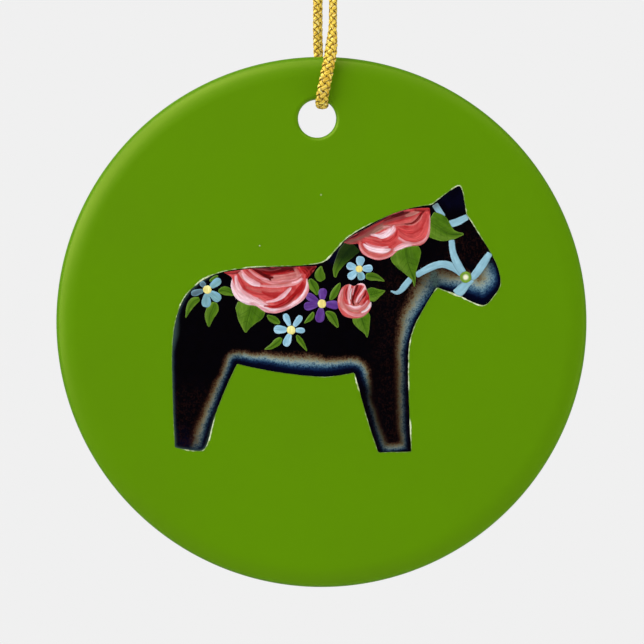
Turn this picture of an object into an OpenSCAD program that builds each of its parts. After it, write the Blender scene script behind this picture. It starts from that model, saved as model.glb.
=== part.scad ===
// Round glazed ornament with a folk-art horse, hung on a braided cord.
// Millimetres. +Z is up and the printed face looks towards -Y.
// The origin is the hang point, in the top of the cord's loop, right under its knot.

/* [Disc] */
// Diameter of the porcelain disc
disc_d = 73; // [60:0.5:90]
// Thickness of the disc
disc_t = 3.2; // [2.6:0.1:3.4]
// Radius of the tight arc at the outermost edge
rim_tight_r = 1.2; // [0.8:0.1:1.25]
// Radius of the soft arc between the flat face and the edge
rim_soft_r = 5; // [4:0.5:8]

/* [Hanging hole] */
// Diameter of the hole
hole_d = 5.4; // [4.8:0.1:7]
// Distance from the top of the disc down to the top of the hole
hole_inset = 5.8; // [4.5:0.1:8]
// Sideways drift of the hole, which the potter's drill leaves
hole_drift = -0.6; // [-0.8:0.1:0.4]
// Radius that softens the edges of the hole
hole_edge_r = 1; // [0.8:0.1:1.2]

/* [Print] */
// Thickness of the coloured glaze over the face and rim
glaze_t = 0.08; // [0.05:0.01:0.12]
// How far the glaze wraps past the middle of the rim
glaze_wrap = 0.3; // [0:0.1:0.8]
// Depth of the coloured glaze inside the edge of the hole
glaze_in_hole = 0.5; // [0.2:0.1:0.8]
// Thickness of one printed colour
ink_t = 0.04; // [0.02:0.01:0.06]
// Size of the picture against its normal size
picture_scale = 1; // [0.75:0.05:1.05]
// Width of the pale line round the horse
keyline_w = 0.15; // [0.1:0.05:0.4]
// Radius of the button on the halter
button_r = 0.8; // [0.6:0.1:1]

/* [Cord] */
// Diameter of the braided cord
cord_d = 1.3; // [1:0.1:1.4]
// Gap between the cord and the hole it hangs in
cord_seat_gap = 0.3; // [0.25:0.05:0.4]
// Length of the cord's eye between the twisting plane and the knot
eye_l = 6; // [4:0.5:9]
// Gap at the twisting plane
twist_gap = 0.3; // [0.2:0.1:0.5]
// Diameter of the knot
knot_d = 8; // [6.5:0.5:10]
// Height of the knot
knot_h = 7; // [5:0.5:9]
// Length of each loose end above the knot
tail_l = 7; // [4:0.5:10]
// Lean of the loose ends
tail_lean = 24; // [10:1:35]

/* [Hidden] */
$fn = 64;

// ---- Cord: it settles where the disc hangs ----
cord_r = cord_d / 2;
hole_r = hole_d / 2;
// The cord's middle line, down the front strand, through the hole and up the back strand.
cord_route = [
    [1.3, -0.4, -5.3], [1.4, -0.6, -9], [1.5, -0.8, -13], [1.5, -1, -17], [1.6, -1.2, -21],
    [1.6, -1.4, -25], [1.6, -1.6, -29], [1.6, -1.8, -33], [1.6, -2, -37], [1.6, -2.2, -41],
    [1.6, -2.3, -45], [1.5, -2.5, -48.5], [1.2, -2.6, -51.5], [0.7, -2.8, -54],
    [0.4, -2.9, -55.8], [0.2, -2.7, -56.9], [0.1, -2, -57.8], [0.1, -1, -58.3],
    [0.1, 0, -58.4],
    [0.1, 1, -58.3], [0, 2, -57.8], [0, 2.7, -56.9], [-0.1, 2.9, -55.8],
    [-0.3, 2.8, -54], [-0.4, 2.6, -51.5], [-0.5, 2.5, -48.5], [-0.5, 2.3, -45],
    [-0.5, 2.2, -41], [-0.6, 2, -37], [-0.7, 1.8, -33], [-0.8, 1.6, -29], [-0.9, 1.4, -25],
    [-1, 1.2, -21], [-1.1, 1, -17], [-1.1, 0.8, -13], [-1.2, 0.6, -9], [-1.3, 0.4, -5.3]
];
seat = cord_route[18];
eye_end = cord_route[0];
eye_top = eye_end[2] + twist_gap + eye_l;
tube_sides = 8;

// ---- Disc: it hangs so that its hole rests on the cord ----
disc_r = disc_d / 2;
seat_drift = seat[0] - hole_drift;
seat_reach = hole_r - cord_r - cord_seat_gap;
hole_z = seat[2] - sqrt(seat_reach * seat_reach - seat_drift * seat_drift);
disc_z = hole_z - (disc_r - hole_inset - hole_r);
rim_turn = acos((rim_soft_r - disc_t / 2) / (rim_soft_r - rim_tight_r));
rim_tight_x = disc_r - rim_tight_r;
rim_soft_x = rim_tight_x - (rim_soft_r - rim_tight_r) * sin(rim_turn);
rim_soft_y = (rim_soft_r - rim_tight_r) * cos(rim_turn);

// ---- Picture: x to the right and z up, from the middle of the disc ----
curve_steps = 4;

// A third number of 1 marks a corner of the outline.
horse_outline = [
    [18.6, 18.7], [19.4, 18.1], [19.7, 16.6], [20, 14.8, 1], [23, 10.1, 1], [24.2, 7.8],
    [24.7, 5.3], [23.8, 3.6], [22.2, 2.2], [19.2, 3.5, 1], [15.9, 4.7, 1], [14.2, 2],
    [12.6, -1.2], [12, -4.6], [12.1, -11], [12.4, -17.9, 1], [7.8, -18, 1], [6.4, -13.8],
    [5, -8.8], [4.5, -7, 1], [0.5, -7.6], [-5, -7.1], [-9.5, -6.3], [-11.6, -5.8, 1],
    [-13.2, -9.3], [-14.6, -12.9], [-15.8, -17.1], [-17.2, -17.8], [-20.2, -17.3, 1],
    [-20.5, -10], [-20.5, -2.5], [-19.4, 2.4], [-17.3, 5.1], [-14.4, 6.7], [-10, 7.5],
    [-3, 7.8], [0.3, 8.3], [2, 10], [3.8, 11.8], [7.5, 13.9], [11.5, 15.5], [15.2, 16.2, 1]
];
back_rose_outline = [
    [-13.5, 6.8, 1], [-12.3, 6.1], [-12.5, 5], [-11.8, 3.3], [-10.3, 2.4], [-9, 2.2],
    [-7.8, 1.4], [-6.2, 1.2], [-4.4, 1.8], [-2.6, 2.9], [-1.7, 4.4], [-1.9, 5.9], [-1.4, 6.5],
    [-0.6, 7.7, 1], [-3.5, 7.6], [-6.5, 7.5], [-10, 7.3]
];
neck_rose_outline = [
    [3, 10.9, 1], [4, 10.7], [5.1, 10.8, 1], [5.4, 9.7], [6.4, 8.9], [8, 8.5], [9.6, 9],
    [10.5, 9.8], [12.2, 10.4], [13.8, 10.6], [14.8, 11.8], [15, 13.6], [14.9, 15.7, 1],
    [12, 15.5], [9.2, 14.6], [6.2, 12.9], [4, 11.7]
];
rosebud_outline = [
    [2.2, 2.6], [2.6, 4.3], [3.2, 5], [3.9, 5.2], [4.5, 4.9], [5.2, 5.3], [5.9, 5.2],
    [6.2, 4.5], [6.6, 3.5], [6.6, 2.9, 1], [6.9, 2.7, 1], [6.7, 1.7], [5.7, 0.7], [4.2, 0.5],
    [2.9, 1]
];

// Each flower: middle, radius of its centre, and its petals as direction, reach and width.
rump_flower = [[-15.7, 4.45], 0.6,
    [[-95, 2.45, 1.3], [-40, 2.3, 1.3], [38, 2.3, 1.1], [195, 2.3, 0.9], [130, 1.4, 0.8]]];
belly_flower = [[-4.15, -1.1], 0.62,
    [[112, 2.4, 0.9], [54, 2.4, 0.9], [-3, 1.9, 0.8], [-110, 2.4, 1.1], [178, 2.4, 1.2]]];
violet_flower = [[0.05, 2.5], 0.6,
    [[85, 2.15, 1.2], [150, 2.5, 1.1], [190, 2.5, 1.2], [262, 2.6, 1.3], [-5, 2.4, 1.2]]];
neck_flower = [[5.2, 7.3], 0.5,
    [[83, 1.75, 1.2], [163, 1.8, 1.1], [222, 2, 1.1], [285, 1.6, 1.1], [3, 1.85, 1.1]]];

// Each leaf and strap: points of its middle line, as x, z and width.
rump_leaves = [
    [[-16.8, 3.2, 0.5], [-17.6, 2.8, 1.1], [-18.2, 1.9, 0.8], [-18.7, 0.5, 0.1]],
    [[-14.7, 2.7, 0.7], [-14.9, 1.9, 1.6], [-15.4, 0.8, 1.4], [-15.5, -0.7, 0.2]],
    [[-14.2, 4.2, 0.4], [-13.4, 4.3, 1.2], [-12.6, 4.1, 1], [-11.7, 3.6, 0.2]],
    [[-15.4, 5.6, 0.2], [-14.9, 5.95, 0.5], [-14.2, 6.4, 0.2]]
];
back_rose_leaf = [[-9.8, 2.9, 3.4], [-9.8, 1.6, 4.2], [-10.2, 0.3, 2.8], [-10.4, -0.8, 1.1],
    [-10.4, -1.5, 0.2]];
withers_leaf = [[0, 7.7, 0.2], [-0.2, 7, 1], [-0.2, 6.4, 1.5], [0.2, 5.7, 0.9]];
belly_leaves = [
    [[-7.5, 0.9, 0.2], [-6.9, 0.5, 0.9], [-6.2, 0.1, 0.9], [-5.7, -0.2, 0.3]],
    [[-5.5, -2.2, 0.4], [-6, -2.7, 1], [-6.9, -3.4, 0.7], [-7.9, -3.8, 0.1]],
    [[-3.4, -1.8, 0.3], [-3, -2.5, 0.8], [-2.5, -3.2, 0.6], [-1.95, -4.1, 0.1]]
];
violet_leaves = [
    [[-1.1, 1.4, 0.2], [-1.3, 0.9, 0.7], [-1.7, 0.4, 0.7], [-2.4, -0.2, 0.1]],
    [[0.6, 1.4, 0.3], [1.3, 0.9, 1.2], [1.8, 0.1, 1], [2.3, -0.8, 0.2]],
    [[-1.6, 5.9, 0.5], [-1.2, 5.1, 1.3], [-0.8, 4.4, 1], [-0.6, 3.7, 0.3]],
    [[2.6, 5.4, 0.2], [2.2, 4.7, 0.8], [1.7, 3.8, 1], [1.2, 3, 0.3]]
];
rosebud_leaves = [
    [[6.3, 3.7, 1.5], [7.1, 3.8, 2], [7.9, 4, 1.1], [8.8, 4.3, 0.1]],
    [[5.4, 1.6, 2], [5.5, 0.4, 2.5], [5.9, -0.7, 1.6], [6.2, -1.5, 0.7], [6.3, -2.2, 0.1]]
];
neck_flower_leaf = [[6.1, 6.3, 0.7], [6.8, 6.25, 1.1], [7.6, 6.1, 0.9], [8.7, 5.6, 0.1]];
mane_leaf = [[4.5, 10.6, 2.4], [3.4, 9.5, 2.2], [2.6, 8.3, 1.5], [2, 7.1, 0.9], [1.9, 6.1, 0.3]];
throat_leaf = [[11.4, 10.4, 3.8], [11.6, 9.2, 4.3], [11.9, 8.1, 3.4], [12.3, 6.9, 1.7],
    [12.7, 5.9, 0.6], [12.8, 4.8, 0.1]];
cheek_leaf = [[14.7, 13.9, 2.9], [15.8, 13.2, 3.6], [17, 12.4, 2.8], [18.2, 12, 1.3],
    [19.6, 12.1, 0.2]];
poll_strap = [[15.6, 16.2, 0.9], [16.1, 15.4, 0.9], [16.7, 14.4, 0.9]];
brow_band = [[17.5, 13.4, 1], [18.8, 13.8, 1], [20.1, 14.5, 0.8]];
cheek_strap = [[17.9, 11.3, 0.8], [18.1, 9.6, 0.9], [18.7, 8, 1.1], [19.5, 6.7, 1]];
nose_band = [[23.2, 9.5, 0.8], [22.3, 8.1, 1.1], [21.3, 6.7, 1.1], [20.6, 5.9, 0.8]];
chin_strap = [[20.8, 5.9, 0.7], [20, 5.2, 1], [19.2, 4.4, 1.4], [18.5, 3.8, 1.3]];
rein = [[19.4, 6.5, 0.8], [18.2, 7.5, 1.1], [16.6, 7.95, 1], [15, 7.5, 1], [13, 6.4, 0.8]];
rein_end = [[12.3, 6, 0.8], [11.5, 5, 0.9], [10.9, 4.3, 0.7], [10.3, 4, 0.5], [9.5, 4.3, 0.2]];
button_at = [19.85, 6.15];

// ---- Curves ----
function unit(v) = v / norm(v);
function corner(p) = len(p) > 2 && p[2] == 1;
function flat_point(p) = [p[0], p[1]];
function hermite(p, m, q, n, t) =
    (2 * t * t * t - 3 * t * t + 1) * p + (t * t * t - 2 * t * t + t) * m
    + (3 * t * t - 2 * t * t * t) * q + (t * t * t - t * t) * n;
function slope(points, i) = let (n = len(points))
    corner(points[i]) ? [0, 0]
    : (flat_point(points[(i + 1) % n]) - flat_point(points[(i + n - 1) % n])) / 2;
function smooth_outline(points) = let (n = len(points)) [
    for (i = [0:n - 1]) let (j = (i + 1) % n)
        for (k = [0:(corner(points[i]) && corner(points[j]) ? 0 : curve_steps - 1)])
            hermite(flat_point(points[i]), slope(points, i), flat_point(points[j]),
                slope(points, j), k / curve_steps)
];
function line_slope(points, i) =
    (points[min(i + 1, len(points) - 1)] - points[max(i - 1, 0)]) / 2;
function smooth_line(points) = concat([
    for (i = [0:len(points) - 2]) for (k = [0:curve_steps - 1])
        hermite(points[i], line_slope(points, i), points[i + 1], line_slope(points, i + 1),
            k / curve_steps)
], [points[len(points) - 1]]);
function side_of(line, i, side) = let (
        ahead = line_slope(line, i),
        along = unit([ahead[0], ahead[1]]))
    [line[i][0], line[i][1]] + side * max(line[i][2], 0.05) / 2 * [-along[1], along[0]];
function stroke_outline(points) = let (line = smooth_line(points), last = len(line) - 1)
    concat([for (i = [0:last]) side_of(line, i, 1)], [for (i = [last:-1:0]) side_of(line, i, -1)]);

// A petal starts inside the flower's centre and is widest past its middle.
function petal_line(middle, petal) = let (
        toward = [cos(petal[0]), sin(petal[0])],
        steps = [[0.15, 0.35], [0.45, 0.8], [0.75, 1], [0.93, 0.75], [1, 0.3]])
    [for (s = steps) let (p = middle + petal[1] * s[0] * toward) [p[0], p[1], petal[2] * s[1]]];

// ---- Tube along a route ----
function route_slope(route, i) =
    unit(route[min(i + 1, len(route) - 1)] - route[max(i - 1, 0)]);
function ring(route, i, r) = let (
        along = route_slope(route, i),
        across = unit([1, 0, 0] - along[0] * along),
        up = cross(along, across))
    [for (k = [0:tube_sides - 1]) let (a = 360 * k / tube_sides)
        route[i] + r * (cos(a) * across + sin(a) * up)];
module tube(route, r) {
    rings = len(route);
    points = [for (i = [0:rings - 1]) each ring(route, i, r)];
    walls = [for (i = [0:rings - 2]) for (k = [0:tube_sides - 1])
        let (a = i * tube_sides + k, b = i * tube_sides + (k + 1) % tube_sides)
        [a, a + tube_sides, b + tube_sides, b]];
    start = [for (k = [0:tube_sides - 1]) k];
    end = [for (k = [tube_sides - 1:-1:0]) (rings - 1) * tube_sides + k];
    polyhedron(points, concat(walls, [start, end]));
}

// ---- Disc ----
// Half section of the disc, grown all round by a coat.
module disc_section(coat) {
    translate([0, -disc_t / 2 - coat]) square([rim_soft_x, disc_t + 2 * coat]);
    translate([rim_tight_x, 0]) circle(r = rim_tight_r + coat);
    intersection() {
        translate([rim_soft_x, -rim_soft_y]) circle(r = rim_soft_r + coat);
        translate([rim_soft_x, rim_soft_y]) circle(r = rim_soft_r + coat);
        translate([rim_soft_x, -disc_t])
            square([rim_tight_x - rim_soft_x + (rim_tight_r + coat) * sin(rim_turn), 2 * disc_t]);
    }
}

// Half section of what the hole takes away, with a flared mouth at each face.
module hole_section(coat) {
    wall = hole_r - coat;
    face = disc_t / 2 + coat;
    edge = hole_edge_r + coat;
    difference() {
        translate([0, -face - 1]) square([wall + edge, 2 * face + 2]);
        translate([wall, -face + edge]) square([edge + 1, 2 * (face - edge)]);
        for (side = [-1, 1])
            translate([wall + edge, side * (face - edge)]) circle(r = edge);
    }
}

module blank(coat) {
    difference() {
        translate([0, 0, disc_z]) rotate([90, 0, 0]) rotate_extrude() disc_section(coat);
        translate([hole_drift, 0, hole_z]) rotate([90, 0, 0]) rotate_extrude() hole_section(coat);
    }
}

module porcelain_disc() {
    color("white") blank(0);
}

module green_glaze() {
    reach = disc_d;
    bare_r = hole_r + glaze_t / 2;
    color([0.36, 0.55, 0]) difference() {
        blank(glaze_t);
        blank(0);
        translate([-reach / 2, glaze_wrap, disc_z - reach / 2 - 1])
            cube([reach, disc_t, reach + 2]);
        translate([hole_drift, glaze_in_hole - disc_t / 2, hole_z])
            rotate([-90, 0, 0]) cylinder(r = bare_r, h = disc_t);
    }
}

// ---- Printed colours ----
// Lays a flat shape on the face as one printed colour; layer 0 is right on the glaze.
module printed(layer) {
    translate([0, -disc_t / 2 - glaze_t - layer * ink_t, disc_z])
        rotate([90, 0, 0]) linear_extrude(ink_t) scale(picture_scale) children();
}
module stroke(points) {
    polygon(stroke_outline(points));
}
module strokes(lines) {
    for (line = lines) stroke(line);
}
module petals(flower) {
    difference() {
        for (petal = flower[2]) stroke(petal_line(flower[0], petal));
        flower_centre(flower);
    }
}
module flower_centre(flower) {
    translate(flower[0]) circle(r = flower[1]);
}
module rose_shape(outline) {
    polygon(smooth_outline(outline));
}
module flower_shape(flower) {
    for (petal = flower[2]) stroke(petal_line(flower[0], petal));
    flower_centre(flower);
}
module button_shape() {
    translate(button_at) circle(r = button_r);
}

module horse_shape() {
    polygon(smooth_outline(horse_outline));
}
module horse_silhouette() {
    color([0.02, 0.01, 0.02]) printed(0) horse_shape();
}
module horse_keyline() {
    color([0.93, 0.9, 0.8]) printed(0) difference() {
        offset(delta = keyline_w) horse_shape();
        horse_shape();
    }
}

module back_rose() {
    color([0.88, 0.45, 0.45]) printed(1) rose_shape(back_rose_outline);
}
module neck_rose() {
    color([0.88, 0.42, 0.42]) printed(1) rose_shape(neck_rose_outline);
}
module rosebud() {
    color([0.85, 0.5, 0.5]) printed(1) rose_shape(rosebud_outline);
}

module rump_flower_petals() {
    color([0.62, 0.78, 0.85]) printed(1) petals(rump_flower);
}
module rump_flower_centre() {
    color([0.95, 0.9, 0.6]) printed(1) flower_centre(rump_flower);
}
module belly_flower_petals() {
    color([0.62, 0.8, 0.92]) printed(1) petals(belly_flower);
}
module belly_flower_centre() {
    color([0.95, 0.9, 0.6]) printed(1) flower_centre(belly_flower);
}
module violet_flower_petals() {
    color([0.47, 0.3, 0.66]) printed(1) difference() {
        petals(violet_flower);
        rose_shape(back_rose_outline);
        rose_shape(rosebud_outline);
    }
}
module violet_flower_centre() {
    color([0.95, 0.95, 0.7]) printed(1) flower_centre(violet_flower);
}
module neck_flower_petals() {
    color([0.62, 0.8, 0.9]) printed(1) petals(neck_flower);
}
module neck_flower_centre() {
    color([0.95, 0.9, 0.6]) printed(1) flower_centre(neck_flower);
}

module rump_flower_leaves() {
    color([0.34, 0.5, 0.14]) printed(1) difference() {
        strokes(rump_leaves);
        flower_shape(rump_flower);
        rose_shape(back_rose_outline);
    }
}
module back_rose_leaf() {
    color([0.36, 0.52, 0.16]) printed(1) difference() {
        stroke(back_rose_leaf);
        rose_shape(back_rose_outline);
        strokes(belly_leaves);
    }
}
module withers_leaf() {
    color([0.3, 0.46, 0.1]) printed(1) difference() {
        stroke(withers_leaf);
        rose_shape(back_rose_outline);
    }
}
module belly_flower_leaves() {
    color([0.3, 0.52, 0.1]) printed(1) difference() {
        strokes(belly_leaves);
        flower_shape(belly_flower);
        rose_shape(back_rose_outline);
    }
}
module violet_flower_leaves() {
    color([0.32, 0.5, 0.12]) printed(1) difference() {
        strokes(violet_leaves);
        flower_shape(violet_flower);
        rose_shape(back_rose_outline);
        rose_shape(rosebud_outline);
    }
}
module rosebud_leaves() {
    color([0.32, 0.48, 0.14]) printed(1) difference() {
        strokes(rosebud_leaves);
        rose_shape(rosebud_outline);
    }
}
module neck_flower_leaf() {
    color([0.3, 0.44, 0.14]) printed(1) difference() {
        stroke(neck_flower_leaf);
        flower_shape(neck_flower);
    }
}
module mane_leaf() {
    color([0.2, 0.36, 0.08]) printed(1) intersection() {
        difference() {
            stroke(mane_leaf);
            rose_shape(neck_rose_outline);
            flower_shape(neck_flower);
        }
        horse_shape();
    }
}
module throat_leaf() {
    color([0.36, 0.52, 0.16]) printed(1) difference() {
        stroke(throat_leaf);
        rose_shape(neck_rose_outline);
    }
}
module cheek_leaf() {
    color([0.34, 0.54, 0.14]) printed(1) difference() {
        stroke(cheek_leaf);
        rose_shape(neck_rose_outline);
    }
}

// ---- Painted halter: each strap is cut where a nearer one or a leaf covers it ----
module strap(points) {
    color([0.62, 0.78, 0.86]) printed(1) difference() {
        intersection() {
            stroke(points);
            horse_shape();
        }
        children();
    }
}
module poll_strap() {
    strap(poll_strap) {
        stroke(cheek_leaf);
        rose_shape(neck_rose_outline);
    }
}
module brow_band() {
    strap(brow_band) stroke(cheek_leaf);
}
module cheek_strap() {
    strap(cheek_strap) {
        stroke(cheek_leaf);
        button_shape();
        stroke(nose_band);
    }
}
module nose_band() {
    strap(nose_band) button_shape();
}
module chin_strap() {
    strap(chin_strap) {
        button_shape();
        stroke(nose_band);
    }
}
module rein() {
    strap(rein) {
        button_shape();
        stroke(cheek_strap);
        stroke(throat_leaf);
    }
}
module rein_end() {
    strap(rein_end) stroke(throat_leaf);
}
module halter_button() {
    color([0.6, 0.7, 0.25]) printed(1) button_shape();
}

// ---- Cord ----
module cord_strands() {
    color([0.84, 0.68, 0.22]) tube(cord_route, cord_r);
}
module cord_eye() {
    color([0.84, 0.68, 0.22])
        for (side = [-1, 1])
            translate([side * eye_end[0], side * eye_end[1], eye_top - eye_l])
                cylinder(r = cord_r, h = eye_l);
}
module knot_body() {
    half = knot_h / 2;
    shoulder = min(2, half, knot_d / 4);
    translate([0, 0, eye_top + half]) rotate_extrude() {
        square([knot_d / 2 - shoulder, half]);
        translate([0, -half]) square([knot_d / 2 - shoulder, half]);
        for (side = [-1, 1])
            translate([knot_d / 2 - shoulder, side * (half - shoulder)]) intersection() {
                circle(r = shoulder);
                translate([0, -shoulder]) square([shoulder, 2 * shoulder]);
            }
        translate([0, shoulder - half]) square([knot_d / 2, 2 * (half - shoulder)]);
    }
}
module cord_knot() {
    color([0.84, 0.68, 0.22]) knot_body();
}
module cord_tail(side) {
    color([0.84, 0.68, 0.22]) difference() {
        translate([side * cord_d, 0, eye_top + knot_h - cord_d])
            rotate([0, side * tail_lean, 0]) cylinder(r = cord_r, h = tail_l + cord_d);
        knot_body();
    }
}
module cord_tail_left() {
    cord_tail(-1);
}
module cord_tail_right() {
    cord_tail(1);
}

porcelain_disc();
green_glaze();
horse_keyline();
horse_silhouette();
back_rose();
neck_rose();
rosebud();
rump_flower_petals();
rump_flower_centre();
belly_flower_petals();
belly_flower_centre();
violet_flower_petals();
violet_flower_centre();
neck_flower_petals();
neck_flower_centre();
rump_flower_leaves();
back_rose_leaf();
withers_leaf();
belly_flower_leaves();
violet_flower_leaves();
rosebud_leaves();
neck_flower_leaf();
mane_leaf();
throat_leaf();
cheek_leaf();
poll_strap();
brow_band();
cheek_strap();
nose_band();
chin_strap();
rein();
rein_end();
halter_button();
cord_strands();
cord_eye();
cord_knot();
cord_tail_left();
cord_tail_right();
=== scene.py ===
"""Round glazed hanging ornament: a porcelain disc with a folk-art horse picture, on a gold braided cord.

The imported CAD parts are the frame. The porcelain, the coloured glaze, every printed colour and the cord are
built here as fine meshes in the places of their CAD nodes, and each one gets its own node-based finish.
Lengths inside the classes are millimetres; the picture is drawn from the middle of the disc, x to the right
and z up. Every mesh is written in metres in the row frame.
"""

import logging
import math
from dataclasses import dataclass, field
from enum import Enum
from typing import Callable, Optional, Sequence

import bpy
import numpy as np
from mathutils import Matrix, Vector
from mathutils.geometry import delaunay_2d_cdt


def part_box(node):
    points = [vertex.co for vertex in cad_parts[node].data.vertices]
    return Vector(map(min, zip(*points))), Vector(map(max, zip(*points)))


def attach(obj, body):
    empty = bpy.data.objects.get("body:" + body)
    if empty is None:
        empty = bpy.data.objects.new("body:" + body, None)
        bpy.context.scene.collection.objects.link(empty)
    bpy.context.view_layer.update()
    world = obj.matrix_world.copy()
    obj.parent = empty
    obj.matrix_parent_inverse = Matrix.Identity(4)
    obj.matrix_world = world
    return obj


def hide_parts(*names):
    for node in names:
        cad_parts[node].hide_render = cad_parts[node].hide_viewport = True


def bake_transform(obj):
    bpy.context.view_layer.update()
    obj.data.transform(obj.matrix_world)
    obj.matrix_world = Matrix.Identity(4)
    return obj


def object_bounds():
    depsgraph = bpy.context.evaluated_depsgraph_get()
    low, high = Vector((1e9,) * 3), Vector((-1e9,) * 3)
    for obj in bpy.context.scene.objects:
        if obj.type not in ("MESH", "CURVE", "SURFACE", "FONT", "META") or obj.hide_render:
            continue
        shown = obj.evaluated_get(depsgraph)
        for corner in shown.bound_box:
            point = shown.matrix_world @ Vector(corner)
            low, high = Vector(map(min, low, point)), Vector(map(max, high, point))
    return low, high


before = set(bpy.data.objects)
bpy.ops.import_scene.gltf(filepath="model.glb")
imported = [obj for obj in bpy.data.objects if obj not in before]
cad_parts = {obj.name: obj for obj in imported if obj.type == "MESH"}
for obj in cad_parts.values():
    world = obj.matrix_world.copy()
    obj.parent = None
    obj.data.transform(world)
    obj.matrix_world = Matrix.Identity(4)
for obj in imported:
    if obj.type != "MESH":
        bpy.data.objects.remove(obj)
cad_low, cad_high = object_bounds()

LOG = logging.getLogger("ornament")
MM = 0.001
Point = Sequence[float]
Rgb = tuple[float, float, float]
Array = np.ndarray
Piece = bpy.types.Object
Node = bpy.types.Node
Socket = bpy.types.NodeSocket
Outputs = bpy.types.NodeOutputs

disc_low, disc_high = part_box("porcelain_disc")
# The height of the disc's middle in the part's own frame, in millimetres.
DISC_Z = float((disc_low.z + disc_high.z) / 2) / MM


# Colours and slots.


def linear(red: int, green: int, blue: int) -> Rgb:
    """Turns a colour as a screen shows it, 0 to 255, into the linear light, 0 to 1, of a shader."""
    shown = (red / 255, green / 255, blue / 255)
    return tuple(c / 12.92 if c <= 0.04045 else ((c + 0.055) / 1.055) ** 2.4 for c in shown)


class Paint(Enum):
    """The colours on the painter's palette."""

    WHITE = linear(240, 214, 224)
    BLUSH = linear(224, 158, 166)
    SALMON = linear(190, 104, 100)
    PEACH = linear(206, 136, 132)
    CORAL = linear(208, 84, 84)
    BRICK = linear(178, 46, 48)
    RED = linear(160, 18, 22)
    DEEP_RED = linear(88, 5, 9)
    WINE = linear(62, 12, 18)
    MAUVE = linear(136, 62, 64)
    BROWN = linear(134, 86, 78)
    GREY_ROSE = linear(172, 132, 120)
    PEARL = linear(206, 212, 218)
    SKY = linear(128, 178, 200)
    SKY_LIGHT = linear(166, 206, 226)
    SKY_DIM = linear(84, 108, 120)
    TEAL_GREY = linear(116, 158, 160)
    VIOLET = linear(84, 44, 126)
    VIOLET_LIGHT = linear(104, 68, 148)
    BUTTER = linear(240, 236, 160)
    BUTTER_DEEP = linear(232, 216, 128)
    LEAF = linear(74, 114, 12)
    LEAF_DEEP = linear(44, 82, 4)
    LEAF_DARK = linear(8, 26, 6)
    LEAF_PALE = linear(110, 144, 46)
    HALTER = linear(134, 178, 194)
    HALTER_LIGHT = linear(146, 190, 206)
    HALTER_GREY = linear(92, 108, 112)
    OLIVE_RING = linear(118, 156, 50)
    CREAM = linear(238, 236, 208)


class Slot(Enum):
    """The record's material slots."""

    PORCELAIN = "white_glaze"
    GREEN = "green_glaze"
    KEYLINE = "cream_print"
    BLACK = "black_print"
    ROSE = "rose_print"
    BLUE = "blue_print"
    VIOLET = "violet_print"
    YELLOW = "yellow_print"
    LEAF = "leaf_print"
    HALTER = "halter_print"
    BUTTON = "button_print"
    CORD = "gold_cord"


# Curves and noise.


def smooth_line(points: Sequence[Point], steps: int = 8) -> Array:
    """Runs a smooth curve through points of any number of columns.

    Args:
        points: The points, in order.
        steps: Samples from one point to the next.

    Returns:
        The samples, one a row, the last point included.
    """
    p = np.asarray(points, float)
    padded = np.vstack([2 * p[0] - p[1], p, 2 * p[-1] - p[-2]])
    t = np.linspace(0, 1, steps, endpoint=False)[:, None]
    runs = []
    for a, b, c, d in zip(padded, padded[1:], padded[2:], padded[3:]):
        cubic = 3 * b - a - 3 * c + d
        square = 2 * a - 5 * b + 4 * c - d
        runs.append(0.5 * (2 * b + (c - a) * t + square * t**2 + cubic * t**3))
    return np.vstack([*runs, p[-1:]])


def evenly(line: Array, spacing: float) -> Array:
    """Places points along a line again, evenly spaced.

    Args:
        line: The line's points; the first three columns give its length.
        spacing: The distance wanted between points.

    Returns:
        The new points.
    """
    steps = np.linalg.norm(np.diff(line[:, :3], axis=0), axis=1)
    at = np.concatenate([[0.0], np.cumsum(steps)])
    count = max(2, int(round(at[-1] / spacing)) + 1)
    want = np.linspace(0, at[-1], count)
    return np.stack([np.interp(want, at, line[:, k]) for k in range(line.shape[1])], axis=1)


def eased(value: Array) -> Array:
    """Clips to 0..1 and eases both ends."""
    v = np.clip(value, 0, 1)
    return v * v * (3 - 2 * v)


def unit(rows: Array) -> Array:
    """Scales each row to a length of 1."""
    return rows / np.maximum(np.linalg.norm(rows, axis=1)[:, None], 1e-9)


def outward(ring: Array) -> Array:
    """Gives the unit direction out of a closed ring at each of its points."""
    ahead = np.roll(ring, -1, axis=0) - np.roll(ring, 1, axis=0)
    return unit(np.stack([ahead[:, 1], -ahead[:, 0]], axis=1))


@dataclass
class Grain:
    """Smooth random values over a plane, the same ones on each run."""

    seed: int
    size: int = 64

    def __post_init__(self) -> None:
        """Fills the lattice."""
        self.lattice = np.random.default_rng(self.seed).random((self.size, self.size))

    def at(self, x: Array, y: Array) -> Array:
        """Gives values from 0 to 1, with features about one unit across.

        Args:
            x: First coordinate.
            y: Second coordinate.

        Returns:
            A value for each pair.
        """
        i, j = np.floor(x).astype(int), np.floor(y).astype(int)
        u, v = eased(x - i), eased(y - j)
        corners = ((0, 0), (1, 0), (0, 1), (1, 1))
        a, b, c, d = (self.lattice[(i + di) % self.size, (j + dj) % self.size] for di, dj in corners)
        return (a * (1 - u) + b * u) * (1 - v) + (c * (1 - u) + d * u) * v


@dataclass
class Reading:
    """Where points lie against a spine."""

    along: Array
    side: Array
    extra: Array
    length: float


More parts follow.
